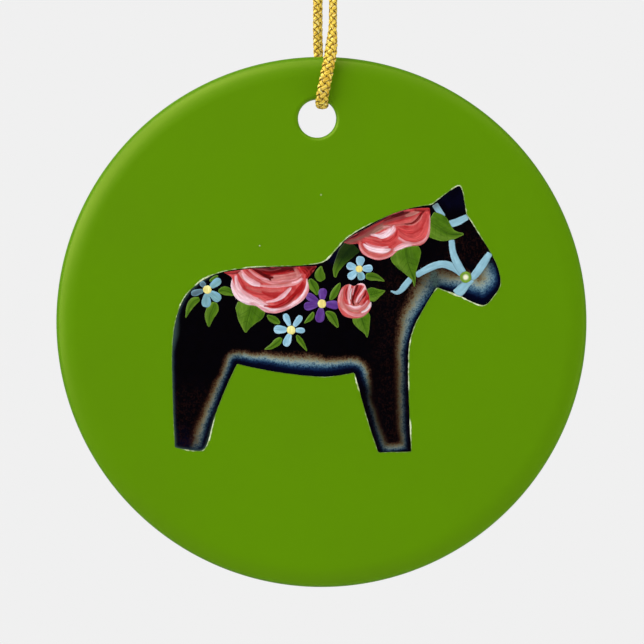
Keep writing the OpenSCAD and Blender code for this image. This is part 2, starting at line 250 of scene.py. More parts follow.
def read_spine(spine: Array, at: Array) -> Reading:
    """Measures points against a drawn line.

    Args:
        spine: Rows of x, z and any further columns.
        at: Rows of x, z.

    Returns:
        How far along and to which side each point is, and the further columns there.
    """
    start, step = spine[:-1], np.diff(spine, axis=0)
    size = np.maximum(np.linalg.norm(step[:, :2], axis=1), 1e-9)
    runs = np.concatenate([[0.0], np.cumsum(size)])
    along, side, extra = [], [], []
    for block in np.array_split(at, max(1, len(at) * len(start) // 1_500_000 + 1)):
        offset = block[:, None] - start[None, :, :2]
        t = np.clip((offset * step[:, :2]).sum(-1) / size**2, 0, 1)
        away = np.linalg.norm(offset - t[..., None] * step[:, :2], axis=-1)
        k = away.argmin(1)
        rows = np.arange(len(block))
        share = t[rows, k]
        turn = step[k, 0] * offset[rows, k, 1] - step[k, 1] * offset[rows, k, 0]
        along.append(runs[k] + share * size[k])
        side.append(np.where(turn < 0, -1.0, 1.0) * away[rows, k])
        extra.append(start[k, 2:] + share[:, None] * step[k, 2:])
    return Reading(np.concatenate(along), np.concatenate(side), np.concatenate(extra), float(runs[-1]))


# Meshes.


def new_piece(name: str, points: Array, faces: Sequence[Sequence[int]]) -> Piece:
    """Makes a smooth-shaded mesh piece in the scene.

    Args:
        name: The piece's name.
        points: Rows of x, y, z in metres.
        faces: Corner numbers of each face.

    Returns:
        The new object.
    """
    mesh = bpy.data.meshes.new(name)
    mesh.from_pydata(points.tolist(), [], [tuple(f) for f in faces])
    mesh.validate()
    mesh.shade_smooth()
    piece = bpy.data.objects.new(name, mesh)
    bpy.context.scene.collection.objects.link(piece)
    return piece


def write_values(piece: Piece, name: str, values: Array) -> None:
    """Stores a number, a vector or a colour at each point of a mesh for its material to read.

    Args:
        piece: The mesh piece.
        name: The attribute's name.
        values: One, three or four columns; three are a vector and four a colour.
    """
    kinds = {1: ("FLOAT", "value"), 3: ("FLOAT_VECTOR", "vector"), 4: ("FLOAT_COLOR", "color")}
    kind, field_name = kinds[1 if values.ndim == 1 else values.shape[1]]
    layer = piece.data.attributes.new(name, kind, "POINT")
    layer.data.foreach_set(field_name, np.ascontiguousarray(values, np.float32).ravel())


def finish_piece(piece: Piece, finish: "Finish", node: str) -> None:
    """Dresses a piece of the disc, ties it to its body and hides the CAD node that it stands for.

    Args:
        piece: The new piece.
        finish: Its finish.
        node: The CAD node that it replaces.
    """
    piece.data.materials.append(finish.material())
    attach(piece, "ornament")
    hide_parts(node)
    LOG.info("%s: %d faces", piece.name, len(piece.data.polygons))


def skinned(rings: int, sides: int, closed: bool = False) -> Array:
    """Gives the quads between rings of points.

    Args:
        rings: How many rings.
        sides: Points in each ring.
        closed: Whether the last ring joins the first.

    Returns:
        Rows of four corner numbers.
    """
    start = np.arange(rings if closed else rings - 1)[:, None] * sides
    end = (start + sides) % (rings * sides)
    ring = np.arange(sides)
    after = (ring + 1) % sides
    return np.stack([start + ring, start + after, end + after, end + ring], axis=-1).reshape(-1, 4)


# Shader building.


@dataclass
class Tree:
    """Adds and joins the nodes of a material or a node group."""

    tree: bpy.types.NodeTree

    def add(self, kind: str, inputs: Optional[dict] = None, **settings: object) -> Node:
        """Adds a node.

        Args:
            kind: The node type without its ShaderNode prefix.
            inputs: Values or sockets by input name or number.
            settings: Properties of the node.

        Returns:
            The new node.
        """
        node = self.tree.nodes.new("ShaderNode" + kind)
        for key, value in settings.items():
            setattr(node, key, value)
        for key, value in (inputs or {}).items():
            self.feed(node.inputs[key], value)
        return node

    def feed(self, socket: Socket, value: object) -> None:
        """Links a socket into another, or sets its value.

        Args:
            socket: The input.
            value: An output socket, a number, a vector or a colour.
        """
        if isinstance(value, Socket):
            self.tree.links.new(value, socket)
        elif socket.type == "RGBA" and len(value) == 3:
            socket.default_value = (*value, 1.0)
        else:
            socket.default_value = value

    def math(self, operation: str, a: object, b: object = 0.0, c: object = 0.0) -> Socket:
        """Adds a Math node on up to three values or sockets."""
        return self.add("Math", {0: a, 1: b, 2: c}, operation=operation).outputs[0]

    def mix(self, share: object, a: object, b: object, blend: str = "MIX") -> Socket:
        """Mixes a share of a second colour into a first."""
        node = self.add("Mix", {0: share, 6: a, 7: b}, data_type="RGBA", blend_type=blend, clamp_factor=True)
        return node.outputs[2]

    def ramp(self, value: object, stops: Sequence[tuple[float, Rgb]]) -> Socket:
        """Adds a colour ramp.

        Args:
            value: What it reads.
            stops: Pairs of place and colour.

        Returns:
            The colour's socket.
        """
        node = self.add("ValToRGB", {0: value})
        marks = node.color_ramp.elements
        while len(marks) < len(stops):
            marks.new(0.5)
        for mark, (place, colour) in zip(marks, sorted(stops)):
            mark.position = place
            mark.color = (*colour, 1.0)
        return node.outputs[0]

    def noise(self, vector: object, scale: object, detail: float = 2.0, rough: float = 0.5) -> Socket:
        """Adds a noise texture with features of one over the scale; rough is how strong its finer octaves are."""
        values = {"Vector": vector, "Scale": scale, "Detail": detail, "Roughness": rough}
        return self.add("TexNoise", values).outputs[0]

    def stored(self, name: str, output: str = "Vector") -> Socket:
        """Reads what a mesh stores at its points."""
        return self.add("Attribute", attribute_name=name).outputs[output]

    def stretched(self, low: float, high: float, value: object, out_low: float, out_high: float) -> Socket:
        """Maps a value from the range low to high onto the range out_low to out_high, clipped."""
        return self.add("MapRange", {0: value, 1: low, 2: high, 3: out_low, 4: out_high}).outputs[0]


SOCKETS = {"float": "NodeSocketFloat", "vector": "NodeSocketVector", "colour": "NodeSocketColor"}


@dataclass
class SharedGroup:
    """A node group that several finishes place, built once from its sockets' kinds and its wiring."""

    name: str
    inputs: dict[str, str]
    outputs: dict[str, str]
    wire: Callable[[Tree, Outputs], dict[str, Socket]]
    made: Optional[bpy.types.NodeTree] = None

    def tree(self) -> bpy.types.NodeTree:
        """Gives the group's tree, building it the first time.

        Returns:
            The node tree.
        """
        if self.made is None:
            group = bpy.data.node_groups.new(self.name, "ShaderNodeTree")
            for side, sockets in (("INPUT", self.inputs), ("OUTPUT", self.outputs)):
                for name, kind in sockets.items():
                    group.interface.new_socket(name=name, in_out=side, socket_type=SOCKETS[kind])
            source = group.nodes.new("NodeGroupInput")
            sink = group.nodes.new("NodeGroupOutput")
            for name, socket in self.wire(Tree(group), source.outputs).items():
                group.links.new(socket, sink.inputs[name])
            self.made = group
        return self.made

    def place(self, into: Tree, values: dict[str, object]) -> Outputs:
        """Places the group in a material.

        Args:
            into: The material's tree.
            values: A value or a socket for each input.

        Returns:
            The placed group's outputs.
        """
        node = into.tree.nodes.new("ShaderNodeGroup")
        node.node_tree = self.tree()
        for name, value in values.items():
            into.feed(node.inputs[name], value)
        return node.outputs


# Effects that several finishes share.


def wire_glaze(tree: Tree, given: Outputs) -> dict[str, Socket]:
    """Fired glaze: a faint orange peel, a few pinholes and a slight change of gloss.

    Args:
        tree: The group's tree.
        given: The group's inputs.

    Returns:
        The socket for each output.
    """
    place = tree.add("TexCoord").outputs["Object"]
    peel = tree.noise(place, given["Peel scale"], 2.0)
    drift = tree.noise(place, 55.0, 3.0)
    cells = tree.add("TexVoronoi", {"Vector": place, "Scale": given["Pin scale"]}, distance="EUCLIDEAN")
    pins = tree.stretched(0.035, 0.075, cells.outputs["Distance"], 1.0, 0.0)
    lowered = tree.math("MULTIPLY", pins, given["Pin depth"])
    return {
        "Height": tree.math("SUBTRACT", tree.math("MULTIPLY", peel, given["Peel depth"]), lowered),
        "Gloss": tree.math("ADD", given["Roughness"], tree.stretched(0.3, 0.7, drift, -0.025, 0.03)),
        "Drift": drift,
        "Pins": pins,
    }


GLAZE = SharedGroup(
    "fired_glaze",
    {"Peel scale": "float", "Peel depth": "float", "Pin scale": "float", "Pin depth": "float", "Roughness": "float"},
    {"Height": "float", "Gloss": "float", "Drift": "float", "Pins": "float"},
    wire_glaze,
)


def wire_bristles(tree: Tree, given: Outputs) -> dict[str, Socket]:
    """Brush marks: fine streaks that run along each stroke, darker and lighter, with a little relief.

    Args:
        tree: The group's tree.
        given: The group's inputs.

    Returns:
        The socket for each output.
    """
    parts = tree.add("SeparateXYZ", {0: given["Stroke"]}).outputs
    across = tree.math("MULTIPLY", parts[0], given["Fineness"])
    along = tree.math("MULTIPLY", parts[1], 0.55)
    drawn = tree.add("CombineXYZ", {0: across, 1: along, 2: parts[2]}).outputs[0]
    hair = tree.noise(drawn, 1.0, 3.0, 0.6)
    blot = tree.noise(given["Stroke"], 1.7, 2.0)
    both = tree.math("ADD", tree.math("MULTIPLY", hair, 0.7), tree.math("MULTIPLY", blot, 0.3))
    darker = tree.mix(1.0, given["Paint"], given["Shade"], "MULTIPLY")
    deepened = tree.math("MULTIPLY", tree.stretched(0.42, 0.68, both, 0.0, 1.0), given["Strength"])
    streaked = tree.mix(deepened, given["Paint"], darker)
    lifted = tree.math("MULTIPLY", tree.stretched(0.5, 0.32, both, 0.0, 0.9), given["Strength"])
    lighter = tree.mix(1.0, streaked, (1.6, 1.5, 1.45), "MULTIPLY")
    return {
        "Paint": tree.mix(lifted, streaked, lighter),
        "Height": hair,
        "Gloss": tree.stretched(0.3, 0.7, hair, 0.17, 0.27),
    }


BRISTLES = SharedGroup(
    "brush_bristles",
    {"Paint": "colour", "Stroke": "vector", "Shade": "colour", "Fineness": "float", "Strength": "float"},
    {"Paint": "colour", "Height": "float", "Gloss": "float"},
    wire_bristles,
)


def wire_speckle(tree: Tree, given: Outputs) -> dict[str, Socket]:
    """Speckled ink: grains of two sizes, as a value around zero and as a mask of the darkest grains.

    Args:
        tree: The group's tree.
        given: The group's inputs.

    Returns:
        The socket for each output.
    """
    place = tree.add("TexCoord").outputs["Object"]
    fine = tree.noise(place, given["Scale"], 1.0)
    coarse = tree.noise(place, tree.math("MULTIPLY", given["Scale"], 0.37), 2.0)
    both = tree.math("ADD", tree.math("MULTIPLY", fine, 0.62), tree.math("MULTIPLY", coarse, 0.38))
    return {"Swing": tree.math("SUBTRACT", both, 0.5), "Grains": tree.stretched(0.54, 0.62, fine, 0.0, 1.0)}


SPECKLE = SharedGroup("ink_speckle", {"Scale": "float"}, {"Swing": "float", "Grains": "float"}, wire_speckle)


def wire_fibres(tree: Tree, given: Outputs) -> dict[str, Socket]:
    """Metallic yarn: filaments that wind round each yarn, and a mask of single foil strips that take a painted glint
    and a lower roughness.

    Args:
        tree: The group's tree.
        given: The group's inputs.

    Returns:
        The socket for each output.
    """
    parts = tree.add("SeparateXYZ", {0: given["Yarn"]}).outputs
    wound = tree.math("ADD", parts[1], tree.math("MULTIPLY", parts[0], given["Twist"]))
    around = tree.math("MULTIPLY", wound, given["Filaments"])
    lines = tree.add("CombineXYZ", {0: around, 1: tree.math("MULTIPLY", parts[0], 1.3), 2: parts[2]}).outputs[0]
    filament = tree.noise(lines, 1.0, 1.0)
    strips = tree.add("CombineXYZ", {0: tree.math("MULTIPLY", around, 0.5), 1: parts[0], 2: parts[2]}).outputs[0]
    return {
        "Filament": filament,
        "Flash": tree.stretched(0.56, 0.68, tree.noise(strips, 1.6), 0.0, 1.0),
    }


FIBRES = SharedGroup(
    "foil_fibres",
    {"Yarn": "vector", "Twist": "float", "Filaments": "float"},
    {"Filament": "float", "Flash": "float"},
    wire_fibres,
)


# Finishes.


@dataclass(frozen=True)
class Finish:
    """A finish: its name and the plain values of its surface."""

    name: str
    roughness: float = 0.2
    specular: float = 0.5
    coat: float = 0.0
    coat_roughness: float = 0.05
    metallic: float = 0.0
    tint: Rgb = (1.0, 1.0, 1.0)

    def wire(self, tree: Tree, surface: Node) -> None:
        """Adds what the finish shows.

        Args:
            tree: The material's tree.
            surface: The Principled shader.
        """
        raise NotImplementedError

    def material(self) -> bpy.types.Material:
        """Gives the material, building it the first time.

        Returns:
            The material.
        """
        made = bpy.data.materials.get(self.name)
        if made is None:
            made = bpy.data.materials.new(self.name)
            made.use_nodes = True
            made.node_tree.nodes.clear()
            tree = Tree(made.node_tree)
            surface = tree.add("BsdfPrincipled")
            sheet = tree.add("OutputMaterial")
            made.node_tree.links.new(surface.outputs[0], sheet.inputs["Surface"])
            surface.inputs["Roughness"].default_value = self.roughness
            surface.inputs["Specular IOR Level"].default_value = self.specular
            surface.inputs["Specular Tint"].default_value = (*self.tint, 1.0)
            surface.inputs["Coat Weight"].default_value = self.coat
            surface.inputs["Coat Roughness"].default_value = self.coat_roughness
            surface.inputs["Metallic"].default_value = self.metallic
            self.wire(tree, surface)
        return made

    def bump(self, tree: Tree, surface: Node, height: object, strength: float, depth: float) -> None:
        """Feeds a height to the surface's normal; depth is what a height of 1 stands for, in metres."""
        node = tree.add("Bump", {"Strength": strength, "Distance": depth, "Height": height})
        tree.feed(surface.inputs["Normal"], node.outputs[0])


@dataclass(frozen=True)
class PlainGlaze(Finish):
    """Clear glaze on white porcelain, a little warmer and greyer in slow random drifts."""

    body: Rgb = linear(228, 228, 224)
    warm: Rgb = linear(222, 220, 213)

    def wire(self, tree: Tree, surface: Node) -> None:
        """Adds the white body, its drift and its pinholes.

        Args:
            tree: The material's tree.
            surface: The Principled shader.
        """
        marks = {"Peel scale": 900.0, "Peel depth": 0.35, "Pin scale": 260.0, "Pin depth": 0.5}
        glaze = GLAZE.place(tree, {**marks, "Roughness": self.roughness})
        body = tree.mix(tree.stretched(0.35, 0.7, glaze["Drift"], 0.0, 0.5), self.body, self.warm)
        tree.feed(surface.inputs["Base Color"], tree.mix(glaze["Pins"], body, linear(204, 200, 192)))
        tree.feed(surface.inputs["Roughness"], glaze["Gloss"])
        self.bump(tree, surface, glaze["Height"], 0.25, 0.00002)


@dataclass(frozen=True)
class ColourGlaze(Finish):
    """The printed green ground, lighter over the rounded rim and the hole's mouths: partly the glaze thinning where it
    breaks over the edge, partly a painted highlight.
    """

    face: Rgb = linear(84, 132, 0)
    drifted: Rgb = linear(83, 130, 0)
    # Lighter green for the rim and the hole's mouths: partly thin glaze, partly painted highlight.
    thin: Rgb = linear(88, 136, 2)

    def wire(self, tree: Tree, surface: Node) -> None:
        """Adds the green, its drift and the lighter edge that the mesh marks, partly thin glaze and partly painted
        highlight.

        Args:
            tree: The material's tree.
            surface: The Principled shader.
        """
        marks = {"Peel scale": 700.0, "Peel depth": 0.3, "Pin scale": 190.0, "Pin depth": 0.3}
        glaze = GLAZE.place(tree, {**marks, "Roughness": self.roughness})
        edge = tree.stored("thin", "Fac")
        body = tree.mix(tree.stretched(0.4, 0.65, glaze["Drift"], 0.0, 1.0), self.face, self.drifted)
        tree.feed(surface.inputs["Base Color"], tree.mix(edge, body, self.thin))
        tree.feed(surface.inputs["Roughness"], glaze["Gloss"])
        self.bump(tree, surface, glaze["Height"], 0.12, 0.00002)


@dataclass(frozen=True)
class BrushedInk(Finish):
    """A printed painting: its colours lie in the mesh and the bristle marks come from the nodes."""

    shade: Rgb = (0.62, 0.5, 0.5)
    fineness: float = 7.0
    strength: float = 0.5

    def wire(self, tree: Tree, surface: Node) -> None:
        """Adds the laid paint and its streaks.

        Args:
            tree: The material's tree.
            surface: The Principled shader.
        """
        laid = {
            "Paint": tree.stored("paint", "Color"),
            "Stroke": tree.stored("stroke"),
        }
        look = {"Shade": self.shade, "Fineness": self.fineness, "Strength": self.strength}
        marks = BRISTLES.place(tree, {**laid, **look})
        tree.feed(surface.inputs["Base Color"], marks["Paint"])
        tree.feed(surface.inputs["Roughness"], marks["Gloss"])
        self.bump(tree, surface, marks["Height"], 0.1, 0.00003)


@dataclass(frozen=True)
class SprayedBlack(Finish):
    """The horse's black ink, with the sprayed glow that the mesh marks along some of its edges."""

    black: Rgb = linear(1, 0, 1)
    navy: Rgb = linear(2, 2, 20)
    brown: Rgb = linear(26, 9, 6)
    slate: Rgb = linear(54, 74, 70)

    def wire(self, tree: Tree, surface: Node) -> None:
        """Adds black with its navy and brown tints, then the glow bands over it.

        Args:
            tree: The material's tree.
            surface: The Principled shader.
        """
        band = tree.add("SeparateXYZ", {0: tree.stored("band")}).outputs
        tint = tree.add("SeparateXYZ", {0: tree.stored("tint")}).outputs
        grain = SPECKLE.place(tree, {"Scale": 5600.0})
        drift = SPECKLE.place(tree, {"Scale": 900.0})
        scatter = tree.stretched(0.2, 0.85, band[0], 0.1, 0.7)
        at = tree.math("ADD", band[0], tree.math("MULTIPLY", grain["Swing"], scatter))
        glow = tree.ramp(
            at,
            [
                (0.0, linear(1, 2, 10)),
                (0.2, linear(1, 3, 30)),
                (0.34, linear(18, 42, 74)),
                (0.44, linear(70, 104, 126)),
                (0.54, linear(118, 142, 146)),
                (0.62, linear(132, 140, 124)),
                (0.7, linear(118, 112, 86)),
                (0.79, linear(86, 64, 44)),
                (0.9, linear(42, 22, 15)),
                (1.0, linear(3, 1, 1)),
            ],
        )
        dull = tree.mix(tint[2], glow, linear(255, 218, 184), "MULTIPLY")
        cold = tree.math("MULTIPLY", tint[0], tree.stretched(-0.1, 0.1, drift["Swing"], 0.5, 1.0))
        ground = tree.mix(cold, self.black, self.navy)
        freckle = tree.math("MULTIPLY", tint[1], tree.stretched(-0.02, 0.12, grain["Swing"], 0.0, 1.0))
        ground = tree.mix(freckle, ground, self.brown)
        weight = tree.math("MULTIPLY", band[1], tree.stretched(-0.14, 0.04, grain["Swing"], 0.6, 1.05))
        coloured = tree.mix(weight, ground, dull)
        patch = tree.mix(grain["Grains"], self.slate, linear(16, 18, 34))
        edge = tree.stored("slate", "Fac")
        coloured = tree.mix(edge, tree.mix(band[2], coloured, patch), self.slate)
        tree.feed(surface.inputs["Base Color"], coloured)
        tree.feed(surface.inputs["Roughness"], tree.stretched(-0.2, 0.2, drift["Swing"], 0.16, 0.24))
        self.bump(tree, surface, grain["Swing"], 0.06, 0.00002)


@dataclass(frozen=True)
class ChalkLine(Finish):
    """The pale line round the horse, uneven in tone."""

    def wire(self, tree: Tree, surface: Node) -> None:
        """Adds the cream line, greener where it is thin.

        Args:
            tree: The material's tree.
            surface: The Principled shader.
        """
        grain = SPECKLE.place(tree, {"Scale": 1500.0})
        fade = tree.stored("fade", "Fac")
        cream = tree.mix(grain["Grains"], linear(206, 214, 178), linear(166, 182, 122))
        tree.feed(surface.inputs["Base Color"], tree.mix(fade, cream, linear(96, 132, 22)))
        self.bump(tree, surface, grain["Swing"], 0.05, 0.00002)


@dataclass(frozen=True)
class FoilYarn(Finish):
    """Gold foil yarn of the braid, with painted shade on the sides of each yarn and a painted glint on single strips.
    """

    bright: Rgb = linear(255, 224, 84)
    deep: Rgb = linear(210, 162, 26)
    # Pale gold painted on single strips as a glint; the same strips are also less rough.
    painted_glint: Rgb = linear(255, 246, 170)
    # Dark brown painted on each yarn's sides and underside: painted shade where the yarns tuck under their neighbours.
    gap: Rgb = linear(78, 46, 4)
    filaments: float = 9.0

    def wire(self, tree: Tree, surface: Node) -> None:
        """Adds filaments of foil, a painted glint on single strips and painted shade on each yarn's sides.

        Args:
            tree: The material's tree.
            surface: The Principled shader.
        """
        yarn = tree.stored("yarn")
        fibres = FIBRES.place(tree, {"Yarn": yarn, "Twist": 0.35, "Filaments": self.filaments})
        gold = tree.mix(tree.stretched(0.35, 0.62, fibres["Filament"], 0.0, 1.0), self.deep, self.bright)
        # Away from each yarn's outer crown the colour turns to the dark brown painted shade.
        off = tree.math("SUBTRACT", tree.add("SeparateXYZ", {0: yarn}).outputs[1], 0.25)
        gap = tree.stretched(0.008, 0.05, tree.math("MULTIPLY", off, off), 0.0, 0.92)
        # Single strips get the pale painted glint colour.
        lit = tree.mix(fibres["Flash"], gold, self.painted_glint)
        tree.feed(surface.inputs["Base Color"], tree.mix(gap, lit, self.gap))
        tree.feed(surface.inputs["Roughness"], tree.stretched(0.0, 1.0, fibres["Flash"], 0.42, 0.24))
        self.bump(tree, surface, fibres["Filament"], 0.35, 0.00004)


@dataclass(frozen=True)
class ShadedCore(Finish):
    """The yarn core that shows between the stitches, dark brown as painted shade deep in the braid."""

    def wire(self, tree: Tree, surface: Node) -> None:
        """Adds twisted yarn in dark browns, painted shade.

        Args:
            tree: The material's tree.
            surface: The Principled shader.
        """
        yarn = tree.stored("yarn")
        fibres = FIBRES.place(tree, {"Yarn": yarn, "Twist": 0.9, "Filaments": 5.0})
        yarn_tone = tree.mix(fibres["Filament"], linear(60, 36, 4), linear(104, 70, 14))
        tree.feed(surface.inputs["Base Color"], yarn_tone)
        self.bump(tree, surface, fibres["Filament"], 0.5, 0.00004)


PORCELAIN = PlainGlaze("clear_glaze", roughness=0.14, specular=0.5)
GREEN_GROUND = ColourGlaze("green_ground", roughness=0.3, specular=0.5, tint=(1.0, 1.0, 0.2))
HORSE_BLACK = SprayedBlack("horse_black", specular=0.08)
PALE_LINE = ChalkLine("pale_line", roughness=0.2, specular=0.4)
ROSE_INK = BrushedInk("rose_ink", shade=(0.7, 0.42, 0.44), fineness=8.0, strength=0.45, specular=0.2)
BLUE_INK = BrushedInk("blue_ink", shade=(0.55, 0.68, 0.8), fineness=6.0, strength=0.35, specular=0.2)
VIOLET_INK = BrushedInk("violet_ink", shade=(0.6, 0.55, 0.72), fineness=6.0, strength=0.45, specular=0.2)
YELLOW_INK = BrushedInk("yellow_ink", shade=(0.85, 0.76, 0.5), fineness=3.5, strength=0.4, specular=0.2)
LEAF_INK = BrushedInk("leaf_ink", shade=(0.55, 0.66, 0.42), fineness=6.5, strength=0.4, specular=0.2)
HALTER_INK = BrushedInk("halter_ink", shade=(0.72, 0.82, 0.88), fineness=5.0, strength=0.3, specular=0.2)
BUTTON_INK = BrushedInk("button_ink", shade=(0.8, 0.82, 0.6), fineness=3.0, strength=0.3, specular=0.2)
GOLD_YARN = FoilYarn("gold_foil_yarn", roughness=0.4, specular=0.5, metallic=0.2)
YARN_CORE = ShadedCore("shade_dark_yarn_core", roughness=0.7, specular=0.2)


# The studio.


@dataclass
class Studio:
    """Camera, soft lamps, pale surroundings and floor. Lengths are metres."""

    middle: Vector
    field: float = 0.08887
    distance: float = 0.6
    sensor: float = 36.0
    backdrop: float = linear(240, 240, 240)[0]
    ambient: float = 0.385
    reflected: float = 0.14
    floor_drop: float = 0.3
    floor_radius: float = 0.7
    reach: float = 1.2

    def camera(self) -> None:
        """Sets the camera square to the disc, so that the field just holds it."""
        data = bpy.data.cameras.new("camera")
        data.sensor_width = self.sensor
        data.lens = self.sensor * self.distance / self.field
        data.clip_start = 0.01
        data.clip_end = 20.0
        camera = bpy.data.objects.new("camera", data)
        bpy.context.scene.collection.objects.link(camera)
        camera.location = self.middle + Vector((0.0, -self.distance, 0.0))
        camera.rotation_euler = (math.pi / 2, 0.0, 0.0)
        bpy.context.scene.camera = camera

    def surroundings(self) -> None:
        """Makes a plain pale room that the camera sees evenly and that lights the piece softly."""
        world = bpy.data.worlds.new("pale_room")
        world.use_nodes = True
        world.node_tree.nodes.clear()
        tree = Tree(world.node_tree)
        rays = tree.add("LightPath").outputs
        glows = (self.backdrop, self.ambient, self.reflected)
        seen, soft, dark = (tree.add("Background", {"Color": (1.0, 1.0, 1.0), "Strength": glow}) for glow in glows)
        room = tree.add("MixShader", {0: rays["Is Glossy Ray"], 1: soft.outputs[0], 2: dark.outputs[0]})
        both = tree.add("MixShader", {0: rays["Is Camera Ray"], 1: room.outputs[0], 2: seen.outputs[0]})
        sheet = tree.add("OutputWorld")
        world.node_tree.links.new(both.outputs[0], sheet.inputs["Surface"])
        bpy.context.scene.world = world
        bpy.context.scene.view_settings.view_transform = "Standard"

    def lamp(self, name: str, turn: float, tilt: float, size: float, glow: float, mirrored: bool = True) -> None:
        """Hangs a square soft lamp that faces the middle of the disc.

        Args:
            name: The lamp's name.
            turn: Its direction round the disc, in degrees from the right, counterclockwise from the front.
            tilt: Its angle from straight in front, in degrees.
            size: Its side in metres.
            glow: How bright its surface is.
            mirrored: Whether gloss shows it.
        """
        around, away = math.radians(turn), math.radians(tilt)
        side = math.sin(away) * math.cos(around)
        toward = Vector((side, -math.cos(away), math.sin(away) * math.sin(around)))
        data = bpy.data.lights.new(name, "AREA")
        data.shape = "SQUARE"
        data.size = size
        data.energy = glow * math.pi * size * size
        lamp = bpy.data.objects.new(name, data)
        bpy.context.scene.collection.objects.link(lamp)
        lamp.visible_glossy = mirrored
        lamp.location = self.middle + toward * self.reach
        lamp.rotation_euler = (-toward).to_track_quat("-Z", "Y").to_euler()

    def floor(self) -> None:
        """Lays a round pale floor well below the piece, out of the camera's view."""
        turns = np.linspace(0, 2 * math.pi, 96, endpoint=False)
        low = np.full(len(turns), cad_low.z - self.floor_drop)
        points = np.stack([self.floor_radius * np.cos(turns), self.floor_radius * np.sin(turns), low], axis=1)
        floor = new_piece("floor", points, [list(range(len(turns)))])
        paint = bpy.data.materials.new("pale_floor")
        paint.use_nodes = True
        tree = Tree(paint.node_tree)
        surface = paint.node_tree.nodes["Principled BSDF"]
        mottle = tree.noise(tree.add("TexCoord").outputs["Object"], 9.0, 3.0)
        tree.feed(surface.inputs["Base Color"], tree.mix(mottle, (0.8, 0.8, 0.79), (0.84, 0.84, 0.84)))
        surface.inputs["Roughness"].default_value = 0.8
        floor.data.materials.append(paint)
        floor.visible_glossy = False

    def build(self) -> None:
        """Sets up the whole studio."""
        self.camera()
        self.surroundings()
        self.lamp("upper_left_softbox", 138, 62, 1.1, 2.5)
        self.lamp("top_softbox", 104, 66, 0.9, 1.9)
        self.lamp("left_softbox", 172, 66, 0.9, 1.8)
        self.lamp("near_softbox", 138, 32, 0.5, 0.9)
        self.lamp("upper_right_softbox", 62, 66, 0.8, 0.8)
        self.lamp("right_fill", 345, 76, 0.9, 3.6, False)
        self.lamp("low_fill", 278, 76, 0.9, 3.2, False)
        self.lamp("back_fill", 120, 142, 0.9, 2.4, False)
        self.floor()


# The cord.


# The route of the cord's middle line in the part's own frame, in millimetres, as the CAD has it.
CORD_ROUTE = (
    (1.3, -0.4, -5.3), (1.4, -0.6, -9), (1.5, -0.8, -13), (1.5, -1, -17), (1.6, -1.2, -21), (1.6, -1.4, -25),
    (1.6, -1.6, -29), (1.6, -1.8, -33), (1.6, -2, -37), (1.6, -2.2, -41), (1.6, -2.3, -45), (1.5, -2.5, -48.5),
    (1.2, -2.6, -51.5), (0.7, -2.8, -54), (0.4, -2.9, -55.8), (0.2, -2.7, -56.9), (0.1, -2, -57.8),
    (0.1, -1, -58.3), (0.1, 0, -58.4), (0.1, 1, -58.3), (0, 2, -57.8), (0, 2.7, -56.9), (-0.1, 2.9, -55.8),
    (-0.3, 2.8, -54), (-0.4, 2.6, -51.5), (-0.5, 2.5, -48.5), (-0.5, 2.3, -45), (-0.5, 2.2, -41),
    (-0.6, 2, -37), (-0.7, 1.8, -33), (-0.8, 1.6, -29), (-0.9, 1.4, -25), (-1, 1.2, -21), (-1.1, 1, -17),
    (-1.1, 0.8, -13), (-1.2, 0.6, -9), (-1.3, 0.4, -5.3),
)


@dataclass
class OverhandKnot:
    """The knot that the doubled cord is tied in: a line that settles until its turns just touch."""

    doubled: float = 2.7
    points: int = 120
    rounds: int = 3000
    pull: float = 0.02
    step: float = 0.2

    def settled(self) -> Array:
        """Ties the knot loosely and lets it draw up.

        Returns:
            The middle line of the doubled cord, from the lower end to the upper, in millimetres.
        """
        t = np.linspace(-2.15, 2.15, 140)
        loose = np.stack([1.76 * (t**3 - 3 * t), 0.98 * (t**4 - 4 * t**2), 0.5 * (t**5 - 10 * t)], axis=1)
        line = evenly(loose, self._length(loose) / (self.points - 1))
        link = self._length(line) / (len(line) - 1)
        order = np.arange(len(line))
        strangers = np.abs(order[:, None] - order[None]) > math.ceil(1.6 * self.doubled / link)
        reach = 1.05 * self.doubled
        for _ in range(self.rounds):
            line = line + self._push(line, strangers, reach, link) * self.step
            line[[0, -1], :2] *= 0.9
        return line if line[0, 2] < line[-1, 2] else line[::-1]

    @staticmethod
    def _length(line: Array) -> float:
        """Length of a line."""
        return float(np.linalg.norm(np.diff(line, axis=0), axis=1).sum())

    def _push(self, line: Array, strangers: Array, reach: float, link: float) -> Array:
        """Adds up what moves each point.

        Args:
            line: The points now.
            strangers: Which pairs are far apart along the line.
            reach: How near such a pair may come.
            link: The distance kept between neighbours.

        Returns:
            A push for each point.
        """
        gap = line[:, None] - line[None]
        far = np.sqrt((gap * gap).sum(-1)) + 1e-9
        close = np.where(strangers & (far < reach), (reach - far) / far, 0.0)
        push = 0.4 * (line * close.sum(1)[:, None] - close @ line)
        bend = line[:-2] - 2 * line[1:-1] + line[2:]
        push[:-2] -= 0.35 * bend
        push[1:-1] += 0.7 * bend
        push[2:] -= 0.35 * bend
        edge = np.diff(line, axis=0)
        size = np.linalg.norm(edge, axis=1)
        spring = 0.5 * edge * ((size - link) / size)[:, None]
        push[:-1] += spring
        push[1:] -= spring
        push[0, 2] -= self.pull
        push[-1, 2] += self.pull
        return push


def carried_frames(line: Array, start: int, across: Array) -> Array:
    """Carries a crosswise direction along a line without turning it round the line.

    Args:
        line: The line's points.
        start: The point where the direction is known.
        across: The direction there.

    Returns:
        A unit direction across the line at each point.
    """
    along = unit(np.gradient(line, axis=0))
    frames = np.zeros_like(line)
    frames[start] = across
    for order in (range(start, len(line)), range(start, -1, -1)):
        held = np.asarray(across, float)
        for i in order:
            held = held - (held @ along[i]) * along[i]
            held = held / np.linalg.norm(held)
            frames[i] = held
    return frames


